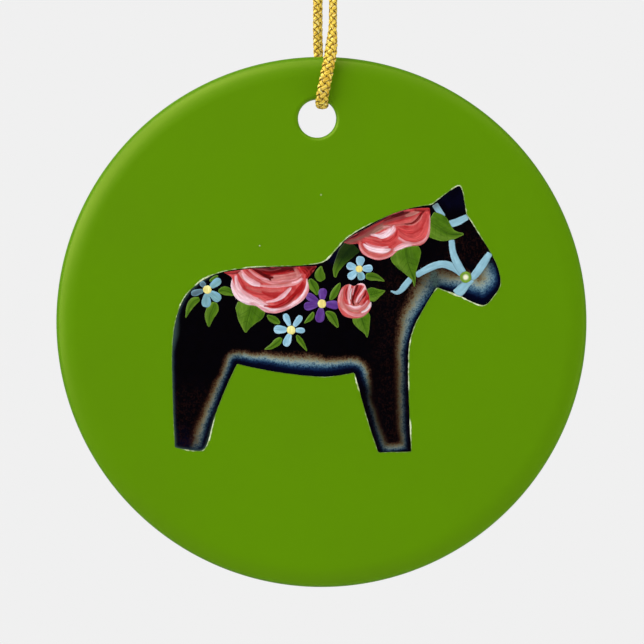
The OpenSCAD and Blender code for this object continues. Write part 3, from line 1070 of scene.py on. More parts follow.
@dataclass
class BraidedCord:
    """The gold cord: one length, tied in a knot above and hung through the hole below."""

    across: float = 1.3
    broad: float = 1.52
    thin: float = 1.0
    yarns_each_way: int = 4
    lay: float = 4.0
    yarn_width: float = 0.62
    yarn_thick: float = 0.25
    lift: float = 0.09
    ring_gap: float = 0.125
    sides: int = 6
    knot_middle: float = 4.6
    strand_gap: float = 0.68
    tail: float = 6.6
    tail_lean: float = math.radians(24)
    seat_rise: float = 0.3
    blend_top: float = -5.0
    blend_end: float = -50.0

    def middle_line(self) -> tuple[Array, int]:
        """Runs the cord from one loose end, through the knot, the hole and the knot again, to the other.

        Returns:
            The points of its middle line in millimetres, and the number of the lowest one.
        """
        core = OverhandKnot().settled()
        core = core - np.array([0.0, 0.0, core[:, 2].mean() - self.knot_middle])
        keep = slice(int(np.argmax(core[:, 2] > -2.6)), len(core) - int(np.argmax(core[::-1, 2] < 9.2)))
        core = evenly(smooth_line(core[keep], 4), 0.4)
        front = np.array([1.3, -0.4, 0.0])
        sideways = carried_frames(core, 0, front / np.linalg.norm(front))
        along = unit(np.gradient(core, axis=0))
        upright = np.cross(along, sideways)
        want = math.atan2(float(upright[-1, 0]), float(sideways[-1, 0]))
        turn = np.linspace(0.0, 1.0, len(core)) * want
        offset = np.cos(turn)[:, None] * sideways + np.sin(turn)[:, None] * upright
        route = np.array(CORD_ROUTE)
        route[:, 2] += self.seat_rise * eased((-54.0 - route[:, 2]) / 2.5)
        lean = np.array([math.sin(self.tail_lean), 0.0, math.cos(self.tail_lean)])
        end_a = core[-1] + offset[-1] * self.strand_gap
        end_b = core[-1] - offset[-1] * self.strand_gap
        tail_a = [end_a + lean * d + np.array([0.2, 0.0, 0.0]) for d in (1.4, 3.0, 4.8, self.tail)]
        lean_b = lean * np.array([-1.0, 1.0, 1.0])
        tail_b = [end_b + lean_b * d - np.array([0.2, 0.0, 0.0]) for d in (1.3, 2.8, 4.4, self.tail - 0.7)]
        down = (core + offset * self.strand_gap)[::-1][::3]
        up = (core - offset * self.strand_gap)[::3]
        whole = np.vstack([tail_a[::-1], down, route, up, tail_b])
        line = evenly(smooth_line(whole, 6), self.ring_gap)
        for _ in range(6):
            line[1:-1] = 0.25 * line[:-2] + 0.5 * line[1:-1] + 0.25 * line[2:]
        return line, int(line[:, 2].argmin())

    def turned(self, line: Array, lowest: int) -> tuple[Array, Array]:
        """Turns the flat braid about its line: broad on the disc, edge-on higher up in front.

        Args:
            line: The middle line.
            lowest: Its lowest point.

        Returns:
            The broad and the thin direction at each point.
        """
        broad = carried_frames(line, lowest, np.array([1.0, 0.0, 0.0]))
        flat = np.cross(unit(np.gradient(line, axis=0)), broad)
        high = line[:, 2] - DISC_Z
        first = np.arange(len(line)) < lowest
        front, back = math.radians(84) * eased((high - 35.5) / 6), math.radians(52) * eased((high - 31) / 5)
        angle = np.where(first, front, back)[:, None]
        return np.cos(angle) * broad + np.sin(angle) * flat, np.cos(angle) * flat - np.sin(angle) * broad

    def build(self) -> None:
        """Braids the cord and hides the CAD cord parts that it stands for."""
        line, lowest = self.middle_line()
        broad, flat = self.turned(line, lowest)
        runs = np.concatenate([[0.0], np.cumsum(np.linalg.norm(np.diff(line, axis=0), axis=1))])
        ends = np.minimum(runs, runs[-1] - runs)
        flare = 1.0 + 0.55 * eased((0.9 - ends) / 0.9)
        half_broad = (self.broad - self.yarn_thick) / 2 * flare
        half_thin = (self.thin - self.yarn_thick) / 2 * flare
        meshes = []
        for way in (1, -1):
            for k in range(self.yarns_each_way):
                angle = way * 2 * math.pi * runs / self.lay + 2 * math.pi * k / self.yarns_each_way
                weave = 1 + way * self.lift / half_thin * np.cos(8 * math.pi * runs / self.lay)
                toward = np.cos(angle)[:, None] * broad
                rising = np.sin(angle)[:, None] * flat
                out = unit(toward * half_thin[:, None] + rising * half_broad[:, None])
                place = line + weave[:, None] * (toward * half_broad[:, None] + rising * half_thin[:, None])
                meshes.append((place, out, self.yarn_width / 2, self.yarn_thick / 2, 10.0 * len(meshes), 0))
        # The core tube inside the yarns; its dark brown finish is painted shade between the stitches.
        meshes.append((line, flat, self.broad * 0.33, self.thin * 0.3, 90.0, 1))
        self._joined(line, runs, meshes)

    def _joined(self, line: Array, runs: Array, meshes: list[tuple]) -> None:
        """Sweeps each yarn and joins them in one piece.

        Args:
            line: The cord's middle line.
            runs: The length along it.
            meshes: Each yarn's line, outward direction, half width, half thickness, number and finish.
        """
        points, faces, yarn, finish = [], [], [], []
        around = np.linspace(0, 2 * math.pi, self.sides, endpoint=False)
        count = len(line)
        ring = np.arange(self.sides)
        for place, out, half_width, half_thick, number, slot_number in meshes:
            along = unit(np.gradient(place, axis=0))
            out = unit(out - (out * along).sum(1)[:, None] * along)
            wide = np.cross(along, out)
            section = (
                np.cos(around)[None, :, None] * half_width * wide[:, None]
                + np.sin(around)[None, :, None] * half_thick * out[:, None]
            )
            base = sum(len(p) for p in points)
            points.append((place[:, None] + section).reshape(-1, 3))
            quads = base + skinned(count, self.sides)
            faces.extend(quads.tolist())
            faces.append((base + ring[::-1]).tolist())
            faces.append((base + (count - 1) * self.sides + ring).tolist())
            finish.extend([slot_number] * (len(quads) + 2))
            turn = np.tile(around / (2 * math.pi), count)
            yarn.append(np.stack([np.repeat(runs, self.sides), turn, np.full(len(turn), number)], axis=1))
        piece = new_piece("gold_braided_cord", np.vstack(points) * MM, faces)
        write_values(piece, "yarn", np.vstack(yarn))
        piece.data.materials.append(GOLD_YARN.material())
        piece.data.materials.append(YARN_CORE.material())
        piece.data.polygons.foreach_set("material_index", finish)
        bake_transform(piece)
        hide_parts("cord_knot", "cord_eye", "cord_tail_left", "cord_tail_right", "cord_strands")
        LOG.info("%s: %d faces, %.1f mm of cord", piece.name, len(piece.data.polygons), runs[-1])


# The porcelain disc and its green glaze.


@dataclass
class Circle:
    """A circle of a turned surface: its middle, its radius and its depth."""

    x: float
    z: float
    radius: float
    y: float
    thin: float = 0.0


@dataclass
class GlazedDisc:
    """The slab: a flat disc with a rounded rim and an off-centre hole with softened mouths."""

    across: float = 73.0
    thick: float = 3.2
    tight: float = 1.2
    soft: float = 5.0
    hole_across: float = 5.4
    hole_x: float = -0.6
    hole_z: float = 28.0
    mouth: float = 0.5
    coat: float = 0.08
    wrap: float = 0.3
    segments: int = 320

    def __post_init__(self) -> None:
        """Works out where the rim's arcs meet."""
        self.turn = math.acos((self.soft - self.thick / 2) / (self.soft - self.tight))
        self.tight_x = self.across / 2 - self.tight
        self.soft_x = self.tight_x - (self.soft - self.tight) * math.sin(self.turn)
        self.soft_y = (self.soft - self.tight) * math.cos(self.turn)

    def rim(self, coat: float, side: int) -> list[Circle]:
        """Gives the circles of half the rim, from the flat face out to the rim's middle.

        Args:
            coat: How far outside the porcelain.
            side: -1 in front, 1 behind.

        Returns:
            The circles.
        """
        circles = []
        out = self.soft + coat
        for a in np.linspace(0, self.turn, 18):
            depth = out * math.cos(a) - self.soft_y
            circles.append(Circle(0, 0, self.soft_x + out * math.sin(a), side * depth))
        out = self.tight + coat
        for a in np.linspace(self.turn, math.pi / 2, 22)[1:]:
            depth = side * out * math.cos(a)
            circles.append(Circle(0, 0, self.tight_x + out * math.sin(a), depth, eased((a - 0.35) / 1.1)))
        return circles

    def face(self, coat: float, side: int) -> list[Circle]:
        """Gives the circles of the flat face, from the hole's mouth out to the rim.

        Args:
            coat: How far outside the porcelain.
            side: -1 in front, 1 behind.

        Returns:
            The circles.
        """
        start, end = self.hole_across / 2 + self.mouth, self.soft_x
        circles = []
        for share in np.linspace(0, 1, 30)[1:-1] ** 1.6:
            stay = 1 - share
            radius = start + (end - start) * share
            circles.append(Circle(self.hole_x * stay, self.hole_z * stay, radius, side * (self.thick / 2 + coat)))
        return circles

    def mouths(self, coat: float, side: int) -> list[Circle]:
        """Gives the circles of a mouth of the hole, from the wall out to the face.

        Args:
            coat: How far outside the porcelain.
            side: -1 in front, 1 behind.

        Returns:
            The circles.
        """
        wall = self.hole_across / 2 + self.mouth
        level = self.thick / 2 - self.mouth
        out = self.mouth + coat
        circles = []
        for a in np.linspace(0, math.pi / 2, 14):
            radius, depth = wall - out * math.cos(a), level + out * math.sin(a)
            circles.append(Circle(self.hole_x, self.hole_z, radius, side * depth, 0.35 * math.cos(a)))
        return circles

    def turned(self, name: str, circles: list[Circle], closed: bool) -> Piece:
        """Skins circles into one surface.

        Args:
            name: The piece's name.
            circles: The circles, in order.
            closed: Whether the last one joins the first.

        Returns:
            The piece.
        """
        turns = np.linspace(0, 2 * math.pi, self.segments, endpoint=False)
        rows = []
        for c in circles:
            across, up = c.x + c.radius * np.sin(turns), c.z + c.radius * np.cos(turns)
            rows.append(np.stack([across, np.full(self.segments, c.y), up + DISC_Z], 1))
        points = np.vstack(rows)
        piece = new_piece(name, points * MM, skinned(len(circles), self.segments, closed).tolist())
        # The thin share lightens the green: partly thin glaze at the edges, partly painted highlight.
        write_values(piece, "thin", np.repeat([float(c.thin) for c in circles], self.segments))
        return piece

    def build(self) -> None:
        """Builds the porcelain and the glaze over it."""
        wall = [
            Circle(self.hole_x, self.hole_z, self.hole_across / 2, y)
            for y in np.linspace(-self.thick / 2 + self.mouth, self.thick / 2 - self.mouth, 8)[1:-1]
        ]
        front = self.mouths(0, -1) + self.face(0, -1) + self.rim(0, -1)
        back = self.mouths(0, 1) + self.face(0, 1) + self.rim(0, 1)
        slab = self.turned("porcelain_slab", front + back[::-1][1:] + wall[::-1], True)
        finish_piece(slab, PORCELAIN, "porcelain_disc")
        inner = [
            Circle(self.hole_x, self.hole_z, self.hole_across / 2 - self.coat * e, y, 0.35)
            for y, e in ((-self.thick / 2 + self.mouth + 0.12, -0.1), (-self.thick / 2 + self.mouth + 0.05, 0.7))
        ]
        far = self.tight + self.coat
        outer = []
        for y, e in ((self.wrap * 0.5, 1.0), (self.wrap * 0.85, 0.8), (self.wrap, -0.1)):
            reach = math.sqrt(far**2 - y**2) - self.coat * (1 - e)
            outer.append(Circle(0, 0, self.tight_x + reach, y, 1.0))
        film = inner + self.mouths(self.coat, -1) + self.face(self.coat, -1) + self.rim(self.coat, -1) + outer
        glaze = self.turned("green_ground_glaze", film, False)
        finish_piece(glaze, GREEN_GROUND, "green_glaze")


# Printed areas.

# How much light the fired inks keep of the palette's colours.
INK_DEPTH = 0.88


@dataclass
class PrintedArea:
    """One printed colour area, cut to its CAD node's outline and finely meshed for its painting."""

    node: str
    gap: float = 0.1
    film: float = 0.04
    waver: float = 0.02
    round_off: float = 0.12

    def loops(self) -> list[Array]:
        """Reads the outline of the node's front face.

        Returns:
            Closed loops of x, z in millimetres from the disc's middle.
        """
        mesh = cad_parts[self.node].data
        mesh.calc_loop_triangles()
        points = np.zeros(len(mesh.vertices) * 3, np.float32)
        mesh.vertices.foreach_get("co", points)
        points = points.reshape(-1, 3).astype(float) / MM
        triangles = np.zeros(len(mesh.loop_triangles) * 3, np.int32)
        mesh.loop_triangles.foreach_get("vertices", triangles)
        triangles = triangles.reshape(-1, 3)
        front = points[:, 1] < points[:, 1].min() + 0.005
        keys = np.round(points[:, [0, 2]], 4)
        places, same = np.unique(keys, axis=0, return_inverse=True)
        same = same.ravel()
        kept = same[triangles[front[triangles].all(1)]]
        kept = kept[(kept[:, 0] != kept[:, 1]) & (kept[:, 1] != kept[:, 2]) & (kept[:, 2] != kept[:, 0])]
        sides = {(int(a), int(b)) for t in kept for a, b in ((t[0], t[1]), (t[1], t[2]), (t[2], t[0]))}
        after: dict[int, list[int]] = {}
        for a, b in sorted(sides):
            if (b, a) not in sides:
                after.setdefault(a, []).append(b)
        found = []
        while after:
            start = min(after)
            chain, here = [start], start
            while here in after:
                there = after[here].pop()
                if not after[here]:
                    del after[here]
                here = there
                if here == start:
                    break
                chain.append(here)
            if len(chain) > 3:
                found.append(places[chain] - (0.0, DISC_Z))
        return found

    def softened(self, loop: Array, seed: int) -> Array:
        """Rounds a loop's corners a little and lets its edge waver as a hand does.

        Args:
            loop: The loop's points.
            seed: Which waver.

        Returns:
            Points one gap apart.
        """
        closed = np.vstack([loop, loop[:1]])
        flat = np.column_stack([closed, np.zeros(len(closed))])
        ring = evenly(flat, self.gap)[:-1, :2]
        reach = max(1, int(3 * self.round_off / self.gap))
        steps = np.arange(-reach, reach + 1)
        weights = np.exp(-0.5 * (steps * self.gap / self.round_off) ** 2)
        smooth = sum(w * np.roll(ring, s, axis=0) for w, s in zip(weights / weights.sum(), steps))
        grain = Grain(seed)
        swing = grain.at(smooth[:, 0] * 1.9, smooth[:, 1] * 1.9) + grain.at(smooth[:, 0] * 5, smooth[:, 1] * 5) - 1
        return smooth + outward(smooth) * (swing * self.waver)[:, None]

    @staticmethod
    def inside(loops: Sequence[Array], at: Array) -> Array:
        """Says which points lie inside the loops.

        Args:
            loops: Closed loops.
            at: Rows of x, z.

        Returns:
            True for each point inside.
        """
        crossed = np.zeros(len(at), int)
        for loop in loops:
            a, b = loop, np.roll(loop, -1, axis=0)
            rise = b[:, 1] - a[:, 1]
            rise = np.where(np.abs(rise) < 1e-12, 1e-12, rise)
            for k in range(0, len(at), 3000):
                z = at[k : k + 3000, 1:2]
                spans = (a[:, 1] > z) != (b[:, 1] > z)
                meets = a[:, 0] + (z - a[:, 1]) * (b[:, 0] - a[:, 0]) / rise
                crossed[k : k + 3000] += (spans & (at[k : k + 3000, 0:1] < meets)).sum(1)
        return crossed % 2 == 1

    @staticmethod
    def edge_distance(loops: Sequence[Array], at: Array) -> Array:
        """Measures how far points are from the outline.

        Args:
            loops: Closed loops.
            at: Rows of x, z.

        Returns:
            A distance for each point.
        """
        best = np.full(len(at), np.inf)
        for loop in loops:
            best = np.minimum(best, np.abs(read_spine(np.vstack([loop, loop[:1]]), at).side))
        return best

    def mesh(self, name: str, seed: int) -> "Canvas":
        """Meshes the area as a film with rounded edges.

        Args:
            name: The piece's name.
            seed: Which waver.

        Returns:
            The area ready to paint.
        """
        loops = [self.softened(loop, seed) for loop in self.loops()]
        rim = np.vstack(loops)
        low, high = rim.min(0), rim.max(0)
        across = np.arange(low[0], high[0], self.gap)
        rows = np.arange(low[1], high[1], self.gap * math.sqrt(3) / 2)
        grid = np.stack(np.meshgrid(across, rows), axis=-1)
        grid[1::2, :, 0] += self.gap / 2
        grid = grid.reshape(-1, 2)
        grid = grid[self.inside(loops, grid)]
        if len(grid):
            grid = grid[self.edge_distance(loops, grid) > 0.55 * self.gap]
        edges, base = [], 0
        for loop in loops:
            edges.extend((base + i, base + (i + 1) % len(loop)) for i in range(len(loop)))
            base += len(loop)
        corners = [Vector(p) for p in np.vstack([rim, grid]).tolist()]
        made = delaunay_2d_cdt(corners, edges, [], 0, 1e-6)
        at = np.array([tuple(p) for p in made[0]])
        triangles = np.array([tuple(f) for f in made[2] if len(f) == 3])
        triangles = triangles[self.inside(loops, at[triangles].mean(1))]
        used, triangles = np.unique(triangles, return_inverse=True)
        at, triangles = at[used], triangles.reshape(-1, 3)
        deep = self.edge_distance(loops, at)
        front = float(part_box(self.node)[0].y) / MM
        depth = front + self.film * (1 - eased(deep / 0.07))
        points = np.stack([at[:, 0], depth, at[:, 1] + DISC_Z], axis=1)
        piece = new_piece(name, points * MM, triangles.tolist())
        return Canvas(piece, at, deep)


@dataclass
class Canvas:
    """A printed area while it is painted: a colour and a stroke direction at each point of its mesh."""

    piece: Piece
    at: Array
    deep: Array
    colour: Array = field(init=False)
    stroke: Array = field(init=False)

    def __post_init__(self) -> None:
        """Starts with an empty ground."""
        self.colour = np.zeros((len(self.at), 3))
        self.stroke = np.column_stack([self.at, np.zeros(len(self.at))])

    def ground(self, paint: Paint, second: Paint, seed: int, size: float = 0.9) -> None:
        """Covers the area with two colours that drift into each other, size being features a millimetre."""
        share = eased(Grain(seed).at(self.at[:, 0] * size, self.at[:, 1] * size) * 1.6 - 0.3)[:, None]
        self.colour = np.array(paint.value) * (1 - share) + np.array(second.value) * share

    def lay(
        self,
        spine: Sequence[Point],
        left: Paint,
        right: Optional[Paint] = None,
        load: float = 1.0,
        edge: float = 0.35,
        streak: float = 0.5,
        seed: int = 1,
    ) -> None:
        """Lays one stroke of a loaded brush.

        Args:
            spine: Points of x, z and the stroke's full width.
            left: The colour on the stroke's left.
            right: The colour on its right.
            load: How well it covers.
            edge: The share of the half width over which it thins out.
            streak: How much the bristles part.
            seed: Which bristles.
        """
        reading = read_spine(smooth_line(spine), self.at)
        grain = Grain(seed)
        half = np.maximum(reading.extra[:, 0], 0.02) / 2
        half = half * (0.88 + 0.24 * grain.at(reading.along * 2.1, np.full(len(half), 3.3)))
        share = reading.side / half
        bristle = grain.at(reading.side * 8.5 + 20, reading.along * 0.7)
        cover = eased((1 - np.abs(share)) / edge)
        ends = np.minimum(reading.along, reading.length - reading.along)
        cover = cover * eased(ends / 0.12 + 0.45)
        cover = np.clip(cover * load * (1 - streak * 0.6 * eased(bristle * 1.9 - 0.55)), 0, 1)[:, None]
        mixed = eased(0.5 - 0.55 * share + (bristle - 0.5) * 0.7)[:, None]
        tone = np.array(left.value) * mixed + np.array((right or left).value) * (1 - mixed)
        tone = tone * (1 + 0.3 * (grain.at(reading.side * 5, reading.along * 1.1 + 9)[:, None] - 0.5))
        self.colour = self.colour * (1 - cover) + tone * cover
        turned = cover[:, 0] > 0.5
        self.stroke[turned] = np.stack([reading.side, reading.along, np.full(len(half), seed * 3.7)], axis=1)[turned]

    def tinted(self, paint: Paint, share: Array) -> None:
        """Mixes a colour in, by a share at each point."""
        self.colour = self.colour * (1 - share[:, None]) + np.array(paint.value) * share[:, None]

    def edged(self, paint: Paint, reach: float, load: float, seed: int) -> None:
        """Thins the paint into another colour towards the outline, reach being how far in it goes."""
        grain = Grain(seed).at(self.at[:, 0] * 1.6, self.at[:, 1] * 1.6)
        self.tinted(paint, eased((reach * (0.5 + grain) - self.deep) / reach) * load)

    def finish(self, finish: Finish, slot: Slot, node: str) -> None:
        """Stores the painting in the mesh and ties the piece to the disc.

        Args:
            finish: The finish that shows it.
            slot: The record's material slot; not used.
            node: The CAD node that the piece stands for.
        """
        write_values(self.piece, "paint", np.column_stack([self.colour * INK_DEPTH, np.ones(len(self.at))]))
        write_values(self.piece, "stroke", self.stroke)
        finish_piece(self.piece, finish, node)


# The horse.

# Stretches of the horse's edge with a sprayed glow inside. Each row holds x, z, where the pale light starts,
# where it ends, its strength and its warmth.
GLOW_RUNS = (
    (
        (-11.6, -5.8, 0.7, 2.1, 0.6, 0.2), (-11, -6, 0.9, 2.4, 0.75, 0), (-8, -6.6, 1.05, 2.6, 0.9, 0),
        (-5, -7.1, 1, 2.9, 0.92, 0), (-2, -7.4, 1, 3.1, 0.95, 0), (0.5, -7.6, 1.15, 3, 0.95, 0),
        (2.5, -7.3, 1.1, 2.8, 0.85, 0), (4.4, -7, 0.9, 2.5, 0.75, 0.1), (4.9, -7.9, 0.8, 2.2, 0.45, 0.1),
        (5.4, -9.4, 0.7, 2, 0.08, 0.2),
    ),
    (
        (-11.6, -5.8, 0.7, 2.1, 0.6, 0.2), (-12.3, -7.1, 0.55, 2, 0.55, 0.5), (-13.2, -9.3, 0.5, 2, 0.52, 0.6),
        (-14.6, -12.9, 0.5, 2.2, 0.55, 0.55), (-15.5, -15.6, 0.5, 2.4, 0.5, 0.6), (-16, -16.9, 0.3, 2.4, 0.3, 0.5),
    ),
    ((-16.3, -17.3, 0.1, 2.2, 0.3, 0.4), (-17.4, -17.8, 0, 2.6, 0.24, 0.5), (-18.3, -17.7, 0, 1.4, 0, 0.5)),
    (
        (5.3, -9.4, 0.6, 1.6, 0, 0.5), (5.9, -11.6, 0.5, 1.7, 0.1, 0.5), (6.6, -14.3, 0.5, 1.7, 0.13, 0.5),
        (7.4, -16.8, 0.5, 1.9, 0.2, 0.3), (7.9, -18, 0.4, 1.8, 0.3, 0.3),
    ),
    ((7.9, -18.1, 0.3, 1.7, 0.3, 0.3), (10, -18.1, 0.3, 1.8, 0.55, 0.3), (12.3, -18, 0.5, 1.9, 0.3, 0.4)),
    (
        (12.4, -18, 0.6, 2, 0.25, 0.5), (12.2, -14, 0.55, 2, 0.26, 0.5), (12.1, -11, 0.55, 2, 0.3, 0.6),
        (12.1, -7, 0.55, 2.1, 0.34, 0.7), (12, -4.6, 0.55, 2.2, 0.45, 0.5), (12.2, -2.8, 0.45, 2.4, 0.6, 0.35),
        (12.6, -1.2, 0.35, 2.6, 0.68, 0.3), (13.2, 0.4, 0.3, 3, 0.72, 0.2), (14.2, 2, 0.25, 3.3, 0.75, 0.15),
        (15.2, 3.6, 0.15, 3.6, 0.55, 0.25), (15.9, 4.7, 0, 3.6, 0.4, 0.3),
    ),
    (
        (15.7, 4.8, 0, 3.4, 0.38, 0.3), (16.6, 4.5, 0.4, 3.4, 0.5, 0.2), (18, 4, 0.8, 3.7, 0.75, 0.1),
        (19.6, 3.4, 1, 4, 0.95, 0), (21, 2.7, 1.3, 4.2, 1, 0), (22.2, 2.2, 1.35, 4.3, 1, 0),
        (23.8, 3.6, 0.95, 4.2, 1, 0), (24.7, 5.3, 0.6, 4.2, 1, 0), (24.4, 7.4, 0.5, 4.2, 0.7, 0.1),
        (23.6, 9.2, 0.5, 3, 0, 0.4),
    ),
)

# The two stray specks of the pale line's ink: x, z and radius.
STRAY_FLECKS = ((-0.06, 17.5, 0.13), (-8.5, 10.5, 0.1))
# Where the pale line is broad and where it thins: rows of x, z and its width.
KEYLINE_WIDTHS = (
    (18.6, 18.8, 0.15), (19.7, 16.6, 0.08), (20, 14.8, 0.12), (21.5, 12.4, 0.1), (23.2, 10, 0.05), (24.8, 5.3, 0.06),
    (23, 2.7, 0.08), (21.5, 2.4, 0.16), (19, 3.5, 0.24), (16.5, 4.5, 0.12), (14.2, 2, 0.05), (12.6, -1.2, 0.1),
    (12, -4, 0.2), (12.1, -7, 0.15), (12.1, -12, 0.05), (12.4, -15.3, 0.22), (12.3, -17.9, 0.08), (8, -18, 0.06),
    (6.5, -14, 0.14), (5.6, -11, 0.03), (4.8, -8.4, 0.2), (4.3, -7, 0.05), (0, -7.6, 0.07), (-5, -7.1, 0.03),
    (-11.6, -5.8, 0.04), (-14, -11.5, 0.03), (-15.2, -15.4, 0.2), (-17.2, -17.8, 0.16), (-20.2, -17.3, 0.05),
    (-20.5, -10, 0.04), (-20.5, -2.5, 0.08), (-20, 1, 0.1), (-19.2, 2.9, 0.16), (-17.9, 4.6, 0.08),
    (-16.6, 5.7, 0.2), (-14.3, 6.9, 0.16), (-10.5, 7.6, 0.15), (-6, 7.8, 0.1), (-3, 7.9, 0.07), (0.6, 8.4, 0.2),
    (2, 9.9, 0.12), (5, 12.4, 0.13), (9, 14.8, 0.04), (12, 15.7, 0.05), (15.2, 16.3, 0.1), (17.2, 17.6, 0.1),
)


@dataclass
class HorsePicture:
    """The black horse, the glow along its edges and the pale line round it."""

    gap: float = 0.24
    def horse(self) -> None:
        """Meshes the horse and marks its glow and its tints."""
        canvas = PrintedArea("horse_silhouette", gap=self.gap, waver=0.03).mesh("painted_horse", 11)
        best = np.full(len(canvas.at), 9.0)
        band = np.zeros((len(canvas.at), 3))
        warm = np.zeros(len(canvas.at))
        waver = Grain(77)
        for run in GLOW_RUNS:
            reading = read_spine(smooth_line(run, 6), canvas.at)
            swing = 0.92 + 0.16 * waver.at(reading.along * 0.55, np.zeros(len(canvas.at)))
            start, end = reading.extra[:, 0] * swing + 0.05, reading.extra[:, 1] * swing
            far = np.abs(reading.side)
            across = np.where(far < start, 0.34 * far / start, 0.34 + 0.66 * (far - start) / (end - start))
            ends = eased(np.minimum(reading.along, reading.length - reading.along) / 0.4 + 0.85)
            nearer = across < best
            best[nearer] = across[nearer]
            band[nearer, 0] = across[nearer]
            band[nearer, 1] = (reading.extra[:, 2] * ends)[nearer]
            warm[nearer] = reading.extra[nearer, 3]
        band[:, 0] = np.clip(band[:, 0], 0, 1.05)
        band[:, 1] = np.clip(band[:, 1], 0, 1) * (best < 1.04)
        for x, z, reach, load in ((15.5, 6.2, 0.8, 0.8), (15.7, 5.4, 0.7, 0.8)):
            far = np.hypot(canvas.at[:, 0] - x, (canvas.at[:, 1] - z) * 0.7)
            band[:, 2] = np.maximum(band[:, 2], load * eased((reach - far) / 0.4))
        write_values(canvas.piece, "band", band)
        edge = 0.4 + 0.6 * eased(1 - np.abs(canvas.at[:, 1] + 1.5) / 3)
        slate = eased((edge - canvas.deep) / edge) * eased((-14 - canvas.at[:, 0]) / 2) * 0.8
        write_values(canvas.piece, "slate", slate)
        write_values(canvas.piece, "tint", np.column_stack([self.navy_tint(canvas), self.freckles(canvas), warm]))
        finish_piece(canvas.piece, HORSE_BLACK, "horse_silhouette")

    @staticmethod
    def navy_tint(canvas: Canvas) -> Array:
        """Marks where the black leans to navy: the ear, the withers, the feet and along the rump's edge.

        Args:
            canvas: The horse's mesh.

        Returns:
            A value from 0 to 1 at each point.
        """
        x, z = canvas.at.T
        ear = eased((z - 14.5) / 2) * eased((x - 15) / 1.5)
        foot = eased((-13.5 - z) / 3) * eased((-15.5 - x) / 1.5)
        withers = eased(1.6 - np.hypot(x - 1.7, z - 9.3) / 1.1) * 1.6
        rump = eased((0.75 - canvas.deep) / 0.5) * eased((-15 - x) / 2)
        return np.clip(ear * 0.8 + foot * 0.9 + withers + rump * 1.3 + 0.12, 0, 1.6)

    @staticmethod
    def freckles(canvas: Canvas) -> Array:
        """Marks where brown freckles show in the black: the face, the chest and the foreleg.

        Args:
            canvas: The horse's mesh.

        Returns:
            A value from 0 to 1 at each point.
        """
        x, z = canvas.at.T
        face = eased((x - 15) / 4) * eased((z - 7) / 2) * eased((14 - z) / 3)
        chest = eased((x - 5) / 5) * eased((13.5 - x) / 3) * eased((10 - z) / 5)
        hind = eased((-13 - x) / 2) * eased((-7 - z) / 4) * 0.6
        return np.clip(face * 0.8 + chest * 0.7 + hind + 0.05, 0, 1)

    def keyline(self) -> None:
        """Draws the pale line outside the horse's edge, broad in some places and nearly gone in others."""
        area = PrintedArea("horse_silhouette", gap=0.12, waver=0.03)
        ring = area.softened(area.loops()[0], 11)
        strong = np.array(KEYLINE_WIDTHS)
        far = np.linalg.norm(ring[:, None] - strong[None, :, :2], axis=-1)
        weight = 1 / np.maximum(far, 0.25) ** 3
        width = (weight * strong[:, 2]).sum(1) / weight.sum(1)
        grain = Grain(5)
        x, z = ring.T
        ragged = grain.at(x * 2.6, z * 2.6) * 0.9 + grain.at(x * 0.8, z * 0.8) * 0.7
        width = np.clip(width * (0.05 + 0.55 * ragged), 0.012, 0.17)
        normal = outward(ring)
        front = float(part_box("horse_keyline")[0].y) / MM
        rows = []
        for share, rise in ((-0.35, 0.0), (0.25, 0.6), (0.7, 0.7), (1.0, -1.0)):
            flat = ring + normal * (width * share + (0.0 if share > 0 else -0.03))[:, None]
            depth = np.full(len(flat), front + 0.02 - 0.02 * rise)
            rows.append(np.stack([flat[:, 0], depth, flat[:, 1] + DISC_Z], 1))
        faces = skinned(len(rows), len(ring))[:, [0, 3, 2, 1]].tolist()
        points = np.vstack(rows)
        fade = np.tile(1 - eased((width - 0.02) / 0.1), 4)
        for x, z, radius in STRAY_FLECKS:
            base = len(points)
            turns = np.linspace(0, 2 * math.pi, 10, endpoint=False)
            size = radius * (0.8 + 0.4 * grain.at(turns * 1.7, np.full(10, x)))
            depth = np.full(10, front + 0.01)
            fleck = np.stack([x + size * np.cos(turns), depth, z + DISC_Z + size * np.sin(turns)], 1)
            points = np.vstack([points, fleck])
            fade = np.concatenate([fade, np.full(10, 0.35)])
            faces.append(list(range(base, base + 10)))
        piece = new_piece("pale_outline", points * MM, faces)
        write_values(piece, "fade", fade)
        finish_piece(piece, PALE_LINE, "horse_keyline")


# Roses.


@dataclass(frozen=True)
class Stroke:
    """One brush stroke of a rose."""

    spine: Sequence[Point]
    left: Paint
    right: Optional[Paint] = None
    load: float = 1.0
    edge: float = 0.35
    streak: float = 0.5


@dataclass
class Rose:
    """A rose: its ground colours and its strokes, from the back to the front."""

    node: str
    ground: tuple[Paint, Paint]
    strokes: Sequence[Stroke]
    gap: float = 0.075

    def build(self) -> None:
        """Meshes the rose and paints it."""
        number = sum(map(ord, self.node)) % 50
        canvas = PrintedArea(self.node, gap=self.gap, waver=0.03).mesh("brushed_" + self.node, 20 + number)
        canvas.ground(self.ground[0], self.ground[1], 31 + number, 1.3)
        for i, s in enumerate(self.strokes):
            canvas.lay(s.spine, s.left, s.right, s.load, s.edge, s.streak, 200 + number + 7 * i)
        canvas.finish(ROSE_INK, Slot.ROSE, self.node)


P = Paint

